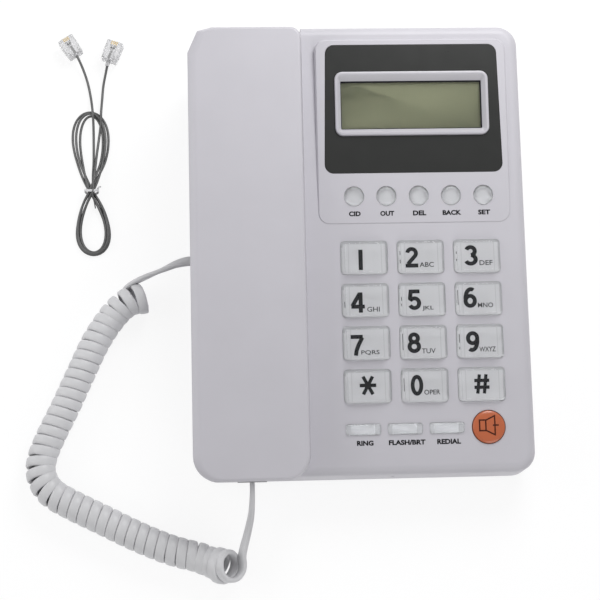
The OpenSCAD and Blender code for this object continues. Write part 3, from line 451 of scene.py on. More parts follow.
WHITE = (0.560, 0.548, 0.590)
DULL = 0.1        # specular level of ink
M = {
    "housing": moulded("housing_plastic", WHITE, rough=0.42),
    "handset": moulded("handset_plastic", WHITE, rough=0.36, grain=3200),
    "panel": moulded("panel_plastic", (0.001, 0.0016, 0.001), rough=0.3, vary=0.08, strength=0.1),
    "frame": moulded("frame_plastic", shade(WHITE, 0.95), rough=0.3, strength=0.1),
    "glass": clear("window_plastic", (0.96, 0.98, 0.94), rough=0.02),
    "lcd": moulded("display_glass", (0.232, 0.238, 0.158), rough=0.9, vary=0.03, strength=0.05),
    "board": moulded("board_laminate", (0.03, 0.16, 0.06), rough=0.45, vary=0.2, grain=900),
    "mat": moulded("mat_silicone", (0.36, 0.36, 0.37), rough=0.6),
    "black": moulded("black_plastic", (0.02, 0.02, 0.021), rough=0.45, vary=0.1),
    "can": metal("can_aluminium", (0.75, 0.75, 0.76), 0.35),
    "steel": metal("bright_steel", (0.62, 0.62, 0.64), 0.28),
    "brass": metal("contact_gold", (0.85, 0.62, 0.25), 0.25),
    "rubber": moulded("foot_rubber", (0.035, 0.035, 0.036), rough=0.75, vary=0.15, grain=1500,
                      strength=0.5, depth=0.00003),
    "iron": moulded("cast_weight", (0.10, 0.10, 0.105), rough=0.6, vary=0.2, grain=900,
                    strength=0.6, depth=0.0001, metallic=0.8),
    "orange": moulded("orange_cap", (0.49, 0.112, 0.034), rough=0.3, vary=0.04, coat=0.2),
    "key": moulded("key_insert", (0.485, 0.484, 0.497), rough=0.4, vary=0.015),
    "sheet": moulded("lit_sheet", (0.59, 0.59, 0.605), rough=0.4, vary=0.015),
    # painted band lines and painted shade, seen under the number keys' clear caps
    "painted_band_line": moulded("painted_band_line", (0.40, 0.40, 0.413), rough=0.4, vary=0.05),
    "key_wall": moulded("key_wall", (0.37, 0.37, 0.383), rough=0.4, vary=0.05),
    "clear": clear("clear_cap", (0.97, 0.98, 0.99)),
    "clear_soft": clear("clear_dome", (0.97, 0.98, 0.99), rough=0.4, ior=1.33),
    # painted shade for the round buttons' crescents
    "round_wall": moulded("round_wall", (0.33, 0.33, 0.335), rough=0.5, vary=0.05),
    "plug": moulded("plug_plastic", (0.86, 0.86, 0.87), rough=0.12, vary=0.03, strength=0.1,
                    transmission=0.45),
    "cord": moulded("cord_skin", (0.66, 0.66, 0.675), rough=0.4, vary=0.03, grain=1800),
    "line": moulded("line_cord_skin", (0.105, 0.105, 0.105), rough=0.35, vary=0.12, grain=1800),
    "line_core": moulded("line_core", (0.30, 0.30, 0.30), rough=0.5, vary=0.2),
    "tie": moulded("tie_plastic", (0.72, 0.72, 0.73), rough=0.45, vary=0.03),
    "brown": moulded("icon_ink", (0.07, 0.02, 0.012), rough=0.45, vary=0.1, specular=DULL),
    # the ink also paints the shadow strip inside the display frame
    "ink_and_painted_shadow": moulded("ink_and_painted_shadow", (0.012, 0.012, 0.014), rough=0.5, vary=0.15, strength=0.05,
                   specular=DULL),
    # the thin ink also paints the figures' reflections in the caps' left sides
    "thin_ink_and_glints": moulded("thin_ink_and_glints", (0.03, 0.03, 0.032), rough=0.5, vary=0.15, strength=0.05,
                        specular=DULL),
}

# each CAD node's material, and the width in mm of the small rounds on its edges
DRESS = {
    "base_top_housing": ("housing", 0.35), "base_lower_housing": ("housing", 0.3),
    "display_panel": ("panel", 0.15), "lcd_frame": ("frame", 0.2), "lcd_window": ("glass", 0),
    "lcd_module": ("lcd", 0), "main_board": ("board", 0), "keypad_membrane": ("mat", 0),
    "loudspeaker": ("black", 0.2), "base_microphone": ("can", 0.1), "line_jack": ("black", 0.15),
    "base_handset_jack": ("black", 0.15), "hook_plunger": ("housing", 0.2),
    "hook_spring": ("steel", 0), "hook_switch_body": ("black", 0.2),
    "wall_hanger": ("housing", 0.2), "rubber_feet": ("rubber", 0.3),
    "housing_screws": ("steel", 0.1), "battery_door": ("housing", 0.25),
    "battery_contacts": ("steel", 0.05), "handset_top_shell": ("handset", 0.3),
    "handset_bottom_shell": ("handset", 0.35), "earpiece_capsule": ("black", 0.3),
    "handset_microphone": ("can", 0.15), "handset_weight": ("iron", 0.3),
    "handset_jack": ("black", 0.15), "handset_screws": ("steel", 0.1),
    "handset_plug": ("plug", 0.25), "base_plug": ("plug", 0.25), "line_plugs": ("plug", 0.25),
    "line_cord_tie": ("tie", 0.1), "button_speaker": ("orange", 0.3),
    "line_cord_hank": ("line", 0), "line_cord_leads": ("line", 0),
    "curly_cord_coil": ("cord", 0), "base_cord_lead": ("cord", 0), "handset_cord_lead": ("cord", 0),
}


def dress(name, material, width):
    """Gives a CAD node its material, and small rounds on its sharp edges."""
    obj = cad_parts[name]
    mesh = obj.data
    mesh.materials.clear()
    mesh.materials.append(material)
    if "custom_normal" in mesh.attributes:
        mesh.attributes.remove(mesh.attributes["custom_normal"])
    mesh.shade_smooth()
    weld = obj.modifiers.new("weld", "WELD")
    weld.merge_threshold = 0.000002
    flat = obj.modifiers.new("flat", "DECIMATE")
    flat.decimate_type = "DISSOLVE"
    flat.angle_limit = math.radians(0.4)
    if width:
        bevel = obj.modifiers.new("edges", "BEVEL")
        bevel.width = width * MM
        bevel.segments = 2
        bevel.limit_method = "ANGLE"
        bevel.angle_limit = math.radians(32)
        bevel.use_clamp_overlap = True
    normals = obj.modifiers.new("normals", "WEIGHTED_NORMAL")
    normals.keep_sharp = False
    normals.weight = 60


for node_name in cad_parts:
    look, edge = DRESS.get(node_name, ("key", 0.2))
    dress(node_name, M[look], edge)
curly.data.materials.append(M["cord"])


# ------------------------------------------------------------------ line cord
LINE_D = 1.2
WAIST = (-121.9, 40.4)          # where the tie holds the strands together, x and y
FLOOR_Z = LINE_D / 2 + 0.03     # the middle of a strand that lies on the floor
LOOP_STEPS = 24


def hank_loop(way, half, reach, x_end, z_end, slot_in, slot_out):
    """One drop-shaped loop from the waist and back; way is 1 for the rear side, -1 for the front.

    half is half its width and reach its length; x_end and z_end are the middle of its far end.
    The slots are the x and z of the strand in the waist, where it comes in and goes out.
    """
    points = []
    for k in range(1, LOOP_STEPS):
        turn = 2 * math.pi * k / LOOP_STEPS
        away = (1 - math.cos(turn)) / 2
        slot = slot_in if k < LOOP_STEPS / 2 else slot_out
        near = 1 - smooth((away * reach - 3) / 15)
        x = WAIST[0] + (x_end - WAIST[0]) * away + slot[0] * near
        x += half / 0.77 * math.sin(turn) * math.sin(turn / 2)
        points.append(Vector((x, WAIST[1] + way * reach * away, z_end + (slot[1] - z_end) * near)))
    return points


def line_path():
    """The line cord's middle line in mm: a lead, four loops in front, three behind, and a lead."""
    up = FLOOR_Z
    under = [(0.65, up + 1.15), (-0.65, up), (0.65, up), (-0.65, up + 1.15)]
    over = [(-0.65, up + 2.35), (0.65, up + 2.35), (-0.65, up + 3.5), (0.65, up + 3.5)]
    front = [(7.6, 30.3, up), (6.4, 29.6, up), (7.0, 29.9, up + 1.0), (5.8, 29.3, up + 0.85)]
    rear = [(8.45, 40.75, -123.35, up), (6.9, 39.8, -123.1, up + 0.9), (5.4, 38.8, -122.7, up)]

    def waist(slot):
        return Vector((WAIST[0] + slot[0], WAIST[1], slot[1]))

    path = vec([(-129.7, 109.0, 4.5), (-128.6, 107.2, 4.3), (-126.6, 102.6, 2.5),
                (-124.6, 96.6, 1.1), (-123.1, 89.5, up + 0.3), (-121.9, 81.4, up + 2.25),
                (-121.5, 74, up + 1.0), (-121.4, 66, up), (-121.3, 55.6, up + 0.2),
                (-121.5, 48.5, up + 0.9)])
    path = catmull(path + [waist(under[0])], 3)
    for n in range(4):
        half, reach, z = front[n]
        path += hank_loop(-1, half, reach, -120.75, z, under[n], over[n]) + [waist(over[n])]
        if n < 3:
            half, reach, x, z = rear[n]
            path += hank_loop(1, half, reach, x, z, over[n], under[n + 1]) + [waist(under[n + 1])]
    path = path[:-1] + catmull([path[-1]] + vec([
        (-120.6, 48.5, up + 2.7), (-119.9, 58, up + 1.2), (-118.7, 69.5, up),
        (-118.0, 75, up + 1.0), (-117.8, 80.2, up + 2.25), (-117.5, 88, up + 0.4),
        (-117, 94.5, 1.1), (-115.8, 100.4, 2.5), (-114.8, 104.2, 4.3), (-114.2, 106, 4.5)]), 3)
    return resample(catmull(path, 3), 0.7)


def tube(name, path, radius, sides=10):
    """A round strand; its radius is a number, or a function of how far along it is."""
    rings = []
    last = len(path) - 1
    for i, p in enumerate(path):
        t = way_at(path, i)
        side = t.cross(UP).normalized()
        top = side.cross(t)
        r = radius(i / last) if callable(radius) else radius
        rings.append([p + (side * math.cos(a) + top * math.sin(a)) * r
                      for a in (2 * math.pi * k / sides for k in range(sides))])
    return loft(name, rings)


def line_cord():
    path = line_path()
    cord = add_object("line_cord", tube("line_cord", path, LINE_D / 2), "base",
                      M["line"])
    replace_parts(cord, "line_cord_hank", "line_cord_leads")
    path = [p * MM for p in path]


line_cord()


TIE_STEPS = 32


def tie():
    """A wire tie round the hank's waist, its ends twisted together at the right."""
    x, y = WAIST
    ring = []
    for k in range(TIE_STEPS + 1):
        a = 2 * math.pi * k / TIE_STEPS
        c = math.cos(a)
        ring.append(Vector((x + squared(c, 0.7) * 3.2, y + 0.55 * c * c - 0.2,
                            2.75 + squared(math.sin(a), 0.7) * 2.6)))
    rings = []
    for i, p in enumerate(ring[:-1]):
        t = (ring[i + 1] - ring[(i - 1) % TIE_STEPS]).normalized()
        out = t.cross(Vector((0, 1, 0)))
        rings.append([p + Vector((0, 0.55 * u, 0)) + out * 0.22 * v
                      for u, v in ((-1, -0.6), (-0.6, -1), (0.6, -1), (1, -0.6),
                                   (1, 0.6), (0.6, 1), (-0.6, 1), (-1, 0.6))])
    rings.append(rings[0])
    mesh = loft("line_tie", rings, "none")
    band_piece = add_object("line_tie", mesh, "base", M["tie"])
    twist = []
    for k in range(6):
        a = 2.2 * k
        twist.append(Vector((x + 2.7 + 0.35 * k + 0.25 * math.sin(a),
                             y + 0.8 + 0.3 * k + 0.3 * math.cos(a), 4.4 + 0.25 * math.sin(a + 1))))
    twist = resample(catmull(twist, 6), 0.15)
    add_object("line_tie_twist", tube("line_tie_twist", twist, lambda t: 0.5 - 0.25 * t, 8),
               "base", M["tie"])
    tail = catmull(vec([(x + 1.0, y + 0.6, 5.1), (x + 0.6, y - 2, 5.4), (x + 1.3, y - 5, 3.4),
                        (x + 1.7, y - 7.8, 1.5)]), 8)
    add_object("line_tie_tail", tube("line_tie_tail", tail, lambda t: 0.45 - 0.2 * t, 8),
               "base", M["line"])
    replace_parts(band_piece, "line_cord_tie")


tie()


PLUG_Z, PLUG_SCALE = 4.5, 0.8   # the height of a plug's middle, and its size beside the real one


def line_plug(name, x, y, turn, long):
    """A clear modular plug, its tail face at x, y; the cord's end and the contacts show through."""
    matrix = Matrix.Translation((x * MM, y * MM, PLUG_Z * MM))
    matrix = matrix @ Matrix.Rotation(math.radians(turn), 4, "Z")
    matrix = matrix @ Matrix.Diagonal((PLUG_SCALE, PLUG_SCALE, PLUG_SCALE, 1))

    def mirrored(right):
        return list(right) + [(-px, py) for px, py in reversed(right)]

    def piece(part, mesh, look):
        return add_object(name + part, mesh, "base", M[look], matrix)

    edge = mirrored(((4.4, 0), (4.6, 3.6), (4.83, 4.2), (4.83, 12.0), (4.5, 12.3)))
    half = 6.15     # of the plug's length
    body = [[(px * k, half + (py - half) * k, z) for px, py in edge]
            for k, z in ((0.97, -3.3), (1, -3.0), (1, 2.9), (0.95, 3.3))]
    shell = piece("", prism(name, body, 35), "plug")
    tab = slab(mirrored(((1.6, 1.5), (1.4, 11.3))), (-4.45, -3.35))
    piece("_latch", prism(name + "_latch", tab), "plug")
    core = slab(mirrored(((0.75, 0.2), (0.6, 5.6))), (3.25, 3.4))
    piece("_core", prism(name + "_core", core), "line_core")
    # ribs and edges inside the plug, drawn as dark marks under its top
    marks = [[(-3.9, 0.5), (-2.7, 0.9)], [(2.5, 0.7), (3.9, 1.2)], [(-3.6, 1.6), (-3.4, 2.2)],
             [(3.2, 2.0), (2.6, 2.5)], [(-1.6, 7.2), (1.6, 7.6)], [(-1.9, 8.6), (-1.5, 9.3)],
             [(1.7, 8.4), (1.4, 9.4)], [(-0.6, 6.0), (-0.9, 8.9)], [(0.5, 6.2), (0.8, 9.0)]]
    legend(name + "_ribs", [strokes(marks, 0.55, level(3.32))], "base",
           M["line_core"], matrix)
    blades = [[(i * 1.02, 9.6), (i * 1.02, 11.9)] for i in (-1.5, -0.5, 0.5, 1.5)]
    legend(name + "_contacts", [strokes(blades, 0.4, level(3.3), 0.12)], "base",
           M["brass"], matrix)
    sleeve = [[(px * k, py, z) for px, py in ((1, 0), (0.85, -long), (-0.85, -long), (-1, 0))]
              for k, z in ((0.9, -1.1), (1.15, -0.8), (1.15, 0.8), (0.9, 1.1))]
    piece("_sleeve", prism(name + "_sleeve", sleeve), "plug")
    return shell


# ------------------------------------------------------------------ legends
INK_THICK = 0.05


def level(z):
    """A flat ground at one height, for strokes."""
    return lambda x, y: z


def arc_of(cx, cy, rx, ry, a0, a1, n=20):
    """Part of an ellipse, from one angle to another in degrees."""
    return [(cx + rx * math.cos(math.radians(a0 + (a1 - a0) * i / n)),
             cy + ry * math.sin(math.radians(a0 + (a1 - a0) * i / n))) for i in range(n + 1)]


def strokes(lines, width, lift=level(0.0), thick=INK_THICK):
    """Verts and faces of flat strokes along lines; lift gives the ground's height at x, y."""
    verts, faces = [], []
    for line_points in lines:
        pts = [Vector(p) for p in line_points]
        closed = (pts[0] - pts[-1]).length < 1e-6
        n = len(pts)
        base = len(verts)
        for i, p in enumerate(pts):
            before = pts[i - 1] if i else (pts[-2] if closed else None)
            after = pts[i + 1] if i < n - 1 else (pts[1] if closed else None)
            d0 = (p - before).normalized() if before is not None else None
            d1 = (after - p).normalized() if after is not None else None
            d0, d1 = d0 or d1, d1 or d0
            n0, n1 = Vector((-d0.y, d0.x)), Vector((-d1.y, d1.x))
            m = (n0 + n1).normalized()
            k = min(1 / max(m.dot(n1), 0.4), 1.8) * width / 2
            for q in (p + m * k, p - m * k):
                z = lift(q.x, q.y)
                verts += [(q.x, q.y, z), (q.x, q.y, z + thick)]
        for i in range(n - 1):
            a, b = base + 4 * i, base + 4 * (i + 1)
            faces += [(a + 1, a + 3, b + 3, b + 1), (a, b, b + 2, a + 2),
                      (a, a + 1, b + 1, b), (a + 2, b + 2, b + 3, a + 3)]
        faces += [(base, base + 2, base + 3, base + 1)]
        e = base + 4 * (n - 1)
        faces += [(e, e + 1, e + 3, e + 2)]
    return verts, faces


def words(text, width, height, cx, cy, bold, z):
    """Verts and faces of a line of text, fitted to a width and height round a middle."""
    curve = bpy.data.curves.new("words", "FONT")
    curve.body = text
    curve.offset = bold
    curve.extrude = 0.02
    curve.resolution_u = 3
    obj = bpy.data.objects.new("words", curve)
    bpy.context.scene.collection.objects.link(obj)
    mesh = bpy.data.meshes.new_from_object(obj)
    bpy.data.objects.remove(obj)
    bpy.data.curves.remove(curve)
    xs = [v.co.x for v in mesh.vertices]
    ys = [v.co.y for v in mesh.vertices]
    x0, x1, y0, y1 = min(xs), max(xs), min(ys), max(ys)
    verts = [(cx + ((v.co.x - x0) / (x1 - x0) - 0.5) * width,
              cy + ((v.co.y - y0) / (y1 - y0) - 0.5) * height,
              z + (INK_THICK if v.co.z > 0 else 0)) for v in mesh.vertices]
    faces = [tuple(p.vertices) for p in mesh.polygons]
    bpy.data.meshes.remove(mesh)
    return verts, faces


def legend(name, parts, body, material, matrix):
    """One piece from several lots of verts and faces in mm."""
    verts, faces = [], []
    for more_verts, more_faces in parts:
        base = len(verts)
        verts += [Vector(v) * MM for v in more_verts]
        faces += [tuple(base + i for i in f) for f in more_faces]
    mesh = bpy.data.meshes.new(name)
    mesh.from_pydata([tuple(v) for v in verts], [], faces)
    mesh.update()
    return add_object(name, mesh, body, material, matrix)


# the lines of each key's figure, in mm from its middle
GLYPHS = {
    "1": [[(0, -4.4), (0, 4.4)]],
    "2": [arc_of(0, 1.75, 1.85, 1.85, 172, -36) + [(-1.7, -2.9)], [(-2.7, -3.6), (2.7, -3.6)]],
    "3": [arc_of(-0.05, 1.85, 1.7, 1.75, 158, -85), arc_of(-0.05, -1.75, 1.95, 1.85, 85, -158)],
    "4": [[(1.0, -4.4), (1.0, 4.3)], [(-2.9, -1.8), (2.7, -1.8)], [(0.7, 3.9), (-2.5, -1.6)]],
    "5": [[(2.2, 3.6), (-1.45, 3.6), (-1.85, 0.1)], arc_of(-0.05, -1.45, 1.95, 2.1, 152, -155)],
    "6": [arc_of(0, -1.45, 1.9, 2.15, 0, 360, 32), arc_of(0.35, -0.6, 2.25, 4.2, 180, 62)],
    "7": [[(-2.7, 3.6), (2.35, 3.6)], [(2.15, 3.3), (0.6, 0.3), (-0.35, -2.2), (-0.7, -4.4)]],
    "8": [arc_of(0, 1.9, 1.6, 1.65, 0, 360, 32), arc_of(0, -1.65, 1.95, 1.95, 0, 360, 32)],
    "9": [arc_of(0, 1.45, 1.9, 2.15, 0, 360, 32), arc_of(-0.35, 0.6, 2.25, 4.2, 0, -118)],
    "0": [arc_of(0, 0, 1.9, 3.6, 0, 360, 40)],
    "star": [[(-3.6, 0), (3.6, 0)], [(-2.1, -3.8), (2.1, 3.8)], [(-2.1, 3.8), (2.1, -3.8)]],
    "hash": [[(-3.3, 1.5), (3.3, 1.5)], [(-3.3, -1.4), (3.3, -1.4)],
             [(-1.95, -4.1), (-0.95, 4.1)], [(0.95, -4.1), (1.95, 4.1)]],
}
# each key's letters, their width and middle, in mm from the key's middle
LETTERS = {"2": ("ABC", 6.3, 2.5, -3.57), "3": ("DEF", 5.8, 3.9, -3.16),
           "4": ("GHI", 5.5, 3.36, -4.1), "5": ("JKL", 5.0, 2.46, -4.1),
           "6": ("MNO", 6.75, 2.94, -3.08), "7": ("PQRS", 8.0, 1.51, -4.23),
           "8": ("TUV", 6.1, 2.12, -3.93), "9": ("WXYZ", 7.2, 3.1, -3.66),
           "0": ("OPER", 7.0, 3.07, -3.1)}
# each figure's middle, and how much wider it is drawn than its lines say
FIGURES = {"1": (-1.65, -1.05, 1), "2": (-4.0, -0.26, 1.03), "3": (-2.78, 0.17, 1.12),
           "4": (-3.22, -0.99, 1.06), "5": (-3.42, -0.27, 1.07), "6": (-3.75, 0.33, 1.07),
           "7": (-4.13, -0.92, 1.05), "8": (-4.15, -0.26, 1.06), "9": (-3.3, -0.25, 1.07),
           "0": (-3.53, 0, 1), "star": (0, 0.35, 1), "hash": (0, 0, 1)}
# painted reflections, where the figure shows a second time in the cap's left side, from and to in y
GLINTS = {"2": ((0.9, 2.6), (-2.9, -1.2)), "3": ((1.0, 2.0), (-2.2, -1.2)), "4": ((-3.2, -0.6),),
          "5": ((-0.6, 1.2), (-3.0, -1.8)), "6": ((-2.8, 3.7),), "8": ((-3.4, 3.8),),
          "9": ((-0.6, 3.2), (-3.6, -2.4)), "0": ((-2.6, 3.2),)}
# the figures' width of line, where it is not the usual one
FIGURE_LINE, LINES = 1.7, {"hash": 1.45, "star": 1.5, "1": 1.85}
FIGURE_TALL = 1.02
KEY_X, KEY_Y = 26.5, -33.9        # the middle of the twelve keys
PITCH_X, PITCH_Y = 25.0, 18.9
KEYS = ["1", "2", "3", "4", "5", "6", "7", "8", "9", "star", "0", "hash"]
# the painted shade and band lines lie at the first height, the print and painted reflections at the
# second
PAINTED_LIGHT_Z, INK_AND_GLINT_Z = -0.05, -0.04     # the heights of what is seen and printed under a clear cap


def number_key(index, key):
    """A clear cap, open below, over an insert that is printed with its figure and letters."""
    matrix = moved(FACE, KEY_X + (index % 3 - 1) * PITCH_X, KEY_Y + (1.5 - index // 3) * PITCH_Y)
    body = "key_" + key
    cap = loft("key_%s_cap" % key, rects([
        (20.75, 14.75, 1.95, -0.1), (20.75, 14.75, 1.95, 0.25), (20.5, 14.5, 1.9, 0.6),
        (19.9, 14.0, 1.8, 0.95), (16.6, 13.0, 1.4, 1.95), (15.9, 12.5, 1.1, 2.1),
        (15.3, 12.0, 0.9, 2.15)]), "top")
    cap = add_object(cap.name, cap, body, M["clear"], matrix)
    insert = prism("key_%s_insert" % key, rects([
        (22.4, 16.4, 1, -3.6), (22.4, 16.4, 1, -2.75), (20.3, 14.3, 1.9, -2.75),
        (20.3, 14.3, 1.9, -0.9), (20.75, 14.75, 1.95, -0.3), (20.7, 14.7, 1.9, -0.05)]))
    add_object(insert.name, insert, body, M["key"], matrix)

    def printed(part, lines, width, z, thick, look):
        legend("key_%s_%s" % (key, part), [strokes(lines, width, level(z), thick)], body,
               M[look], matrix)

    # painted band lines from the cap's sloping sides, and painted shade along its top and right
    # walls
    sheet = [[(-7.0, -6.4), (-7.0, 6.2)], [(-8.4, -6.2), (-8.5, 6.0)], [(7.6, -6.4), (7.5, 6.2)]]
    printed("sheet", sheet, 0.3, PAINTED_LIGHT_Z, 0.02, "painted_band_line")
    wall = [[(-9.8, 4.6), (-9.3, 6.5), (9.3, 6.5), (9.75, 6.0), (9.75, -5.9)]]
    printed("wall", wall, 1.1, PAINTED_LIGHT_Z, 0.015, "key_wall")
    # the figure's painted reflection in the cap's left side
    if key in GLINTS:
        glints = [[(-8.9, y0), (-8.95, y1)] for y0, y1 in GLINTS[key]]
        printed("glints", glints, 0.28, INK_AND_GLINT_Z, 0.02, "thin_ink_and_glints")
    dx, dy, stretch = FIGURES[key]
    verts, faces = strokes(GLYPHS[key], LINES.get(key, FIGURE_LINE))
    parts = [([(x * stretch + dx, y * FIGURE_TALL + dy, z + INK_AND_GLINT_Z) for x, y, z in verts], faces)]
    legend("key_%s_figure" % key, parts, body, M["ink_and_painted_shadow"], matrix)
    if key in LETTERS:
        text, wide, lx, ly = LETTERS[key]
        parts = [words(text, wide, 2.15, lx, ly, 0.01, INK_AND_GLINT_Z)]
        legend("key_%s_letters" % key, parts, body, M["thin_ink_and_glints"], matrix)
    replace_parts(cap, "key_" + key)


for key_index, key_name in enumerate(KEYS):
    number_key(key_index, key_name)


# ------------------------------------------------------------------ round buttons, function keys
# each one's name, label and the label's width, from left to right
ROUNDS = (("cid", "CID", 5.2), ("out", "OUT", 6.2), ("del", "DEL", 5.9), ("back", "BACK", 8.3),
          ("set", "SET", 5.4))
FUNCTIONS = (("ring", "RING", 7.2), ("flash", "FLASH/BRT", 16.0), ("redial", "REDIAL", 10.4))
ROUND_Y = 12.6                    # on the plinth
ROUND_R, ROUND_TALL = 4.38, 1.35
FUNCTION_Y = -81                  # on the face
LABEL_TALL, LABEL_BOLD, LABEL_Z = 2.2, 0.042, 0.01


def round_x(index):
    return 2 + (index - 2) * 14.4


def function_x(index):
    return 17.35 + (index - 1) * 18.3


def round_button(index, name):
    """A frosted dome over an insert, with crescents of painted shade at the dome's rear."""
    matrix = moved(PLINTH, round_x(index), ROUND_Y)
    body = "button_" + name
    dome = [(ROUND_R, -0.3), (ROUND_R, 0)]
    dome += [(ROUND_R * math.cos(a) ** 0.85, ROUND_TALL * math.sin(a))
             for a in (math.radians(90 * k / 9) for k in range(1, 9))]
    cap = prism("button_%s_cap" % name, discs(dome), 40, "top")
    cap = add_object(cap.name, cap, body, M["clear_soft"], matrix)
    insert = prism("button_%s_insert" % name, discs([
        (5.3, -4.4), (5.3, -3.5), (4.15, -3.5), (4.15, -1.2), (ROUND_R, -0.8), (4.34, -0.35),
        (3.2, -0.75)]))
    add_object(insert.name, insert, body, M["key"], matrix)
    # two crescents of painted shade along the dome's rear, the narrow one darker
    for part, colour, reach, wide in (("wall", "key_wall", 200, 1.5),
                                      ("shade", "round_wall", 150, 0.75)):
        r = 4.3 - wide / 2
        arc = arc_of(0, 0, r, r, 95 - reach / 2, 95 + reach / 2, 24)
        legend("button_%s_%s" % (name, part), [strokes([arc], wide, level(-0.32), 0.04)], body,
               M[colour], matrix)
    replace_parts(cap, body)


def function_key(index, name):
    """A low clear cap over an insert with a paler sheet on it."""
    matrix = moved(FACE, function_x(index), FUNCTION_Y)
    body = "button_" + name
    cap = prism("button_%s_cap" % name, rects([
        (15.15, 4.65, 0.95, -0.3), (15.15, 4.65, 0.95, 0.2), (14.8, 4.3, 0.85, 0.6),
        (13.9, 3.5, 0.6, 0.85)]))
    cap = add_object(cap.name, cap, body, M["clear"], matrix)
    insert = prism("button_%s_insert" % name, rects([
        (17.1, 6.6, 1, -3.6), (17.1, 6.6, 1, -2.75), (14.7, 4.2, 0.9, -2.75),
        (14.7, 4.2, 0.9, -0.9), (15.15, 4.65, 0.95, -0.7), (15.1, 4.6, 0.9, -0.35)]))
    add_object(insert.name, insert, body, M["key"], matrix)
    sheet = prism("button_%s_sheet" % name, rects([(10.6, 4.0, 0.6, -0.36),
                                                   (10.5, 3.9, 0.6, -0.33)], -0.3))
    add_object(sheet.name, sheet, body, M["sheet"], matrix)
    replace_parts(cap, body)


def labels(name, rows, place, shift, y, matrix):
    """The printed words beside a row of buttons, each a little right of its button's middle."""
    parts = [words(text, wide, LABEL_TALL, place(i) + shift, y, LABEL_BOLD, LABEL_Z)
             for i, (_, text, wide) in enumerate(rows)]
    legend(name, parts, "base", M["ink_and_painted_shadow"], matrix)


for order, row in enumerate(ROUNDS):
    round_button(order, row[0])
for order, row in enumerate(FUNCTIONS):
    function_key(order, row[0])
labels("labels_display", ROUNDS, round_x, 0.15, 4.8, PLINTH)
labels("labels_functions", FUNCTIONS, function_x, 0.6, -86.9, FACE)


# ------------------------------------------------------------------ speaker button
SPEAKER = moved(FACE, 53.9, -81)
DOME_R = 6.9
ROUND_STEPS = 56


def speaker_dome(x, y):
    """The height of the button's domed top."""
    r = min(math.hypot(x, y) / DOME_R, 1)
    return 0.75 + 0.65 * (1 - r * r)


def speaker_button():
    """A domed orange cap, with a loudspeaker symbol that follows the dome."""
    rings = [(8.35, -3.7), (8.35, -2.75), (7.15, -2.75), (7.15, 0.1), (7.1, 0.45), (DOME_R, 0.7)]
    rings += [(DOME_R * k / 6, speaker_dome(DOME_R * k / 6, 0)) for k in range(5, 0, -1)]
    mesh = prism("speaker_cap", discs(rings, ROUND_STEPS), 40)
    cap = add_object("speaker_cap", mesh, "button_speaker", M["orange"], SPEAKER)
    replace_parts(cap, "button_speaker")
    icon = [[(-4.2, 3.0), (-1.5, 3.0), (-1.5, -1.6), (-4.2, -1.6), (-4.2, 3.0)],
            [(-1.5, 2.9), (2.5, 4.8), (2.5, -3.5), (-1.5, -1.5)], [(1.6, 0.7), (4.2, 0.7)]]
    fine = []
    for line_points in icon:
        pts = [Vector(p) for p in line_points]
        out = [tuple(pts[0])]
        for p, q in zip(pts, pts[1:]):
            out += [tuple(p.lerp(q, k / 8)) for k in range(1, 9)]
        fine.append(out)
    legend("speaker_icon", [strokes(fine, 0.62, lambda x, y: speaker_dome(x, y) + 0.01)],
           "button_speaker", M["brown"], SPEAKER)


speaker_button()


# ------------------------------------------------------------------ handset jack, display frame
def jack_mouth():
    """The raised edge round the jack in the handset's front end."""
    rows = ((12.6, 9.0, 0), (12.6, 9.0, -0.55), (9.2, 7.4, -0.55), (9.2, 7.4, 0))
    rings = [[(x, y, z + JACK_Z) for x, z in round_rect(wide, high, 0.8, 3)]
             for wide, high, y in rows]
    add_object("jack_mouth", loft("jack_mouth", rings, "none", smooth=False), "handset",
               M["mat"], moved(FACE, HANDSET_X, -102))


jack_mouth()
DISPLAY_Y = 54.1


def display_frame():
    """The white frame round the window, and a strip of painted shadow inside its inner edge."""
    y = DISPLAY_Y
    rings = rects([(68.7, 28.8, 3.5, -1.2, y), (68.7, 28.8, 3.5, 1.1, y),
                   (68.4, 28.5, 3.4, 1.45, y), (67.8, 27.9, 3.1, 1.6, y),
                   (66.5, 26.6, 2.3, 1.6, y - 0.05), (66.0, 25.9, 1.9, 1.4, y - 0.2),
                   (63.4, 21.9, 0.7, -1.1, y - 0.3),
                   (63.2, 21.7, 0.6, -1.18, y - 0.3), (63.2, 21.7, 0.6, -1.2, y - 0.3)], n=6)
    mesh = prism("display_frame", rings, 30, "joined")
    obj = add_object("display_frame", mesh, "base", M["frame"], PLINTH)
    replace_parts(obj, "lcd_frame")
    # a strip of painted shadow inside the frame's edge, widest along the top and right
    inner = [(-31.6, y - 11.15), (31.6, y - 11.15), (31.6, y + 10.55), (-31.6, y + 10.55)]
    shut = [(-31.35, y - 10.9), (30.95, y - 10.9), (30.95, y + 9.8), (-31.35, y + 9.8)]
    shadow_strip = slab(inner, (-1.19, -1.1)) + slab(shut, (-1.1, -1.19))
    add_object("display_shadow_strip", loft("display_shadow_strip", shadow_strip, "none", smooth=False), "base",
               M["ink_and_painted_shadow"], PLINTH)


display_frame()
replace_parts(line_plug("line_plug_a", -129.7, 109.0, 33, 0.7), "line_plugs")
line_plug("line_plug_b", -114.2, 106.0, -20, 3.4)


# ------------------------------------------------------------------ studio
AIM = (0, 0, 0.03)
# each lamp's place and size in metres, and its power in watts
LAMPS = (("key", (0.12, 0.30, 0.36), 0.3, 1.46),
         ("fill_front", (0.28, -0.8, 0.35), 0.6, 1.98),
         ("fill_left", (-0.6, 0.05, 0.3), 0.6, 1.36))
SKY_LIGHT = 0.35                    # the world's light on the object
FLOOR_GLOW, GLOW_SHARE = 1.08, 0.8  # how white the floor glows, and its share for background rays
FLOOR_HALF, FLOOR_DROP = 3, 0.0002


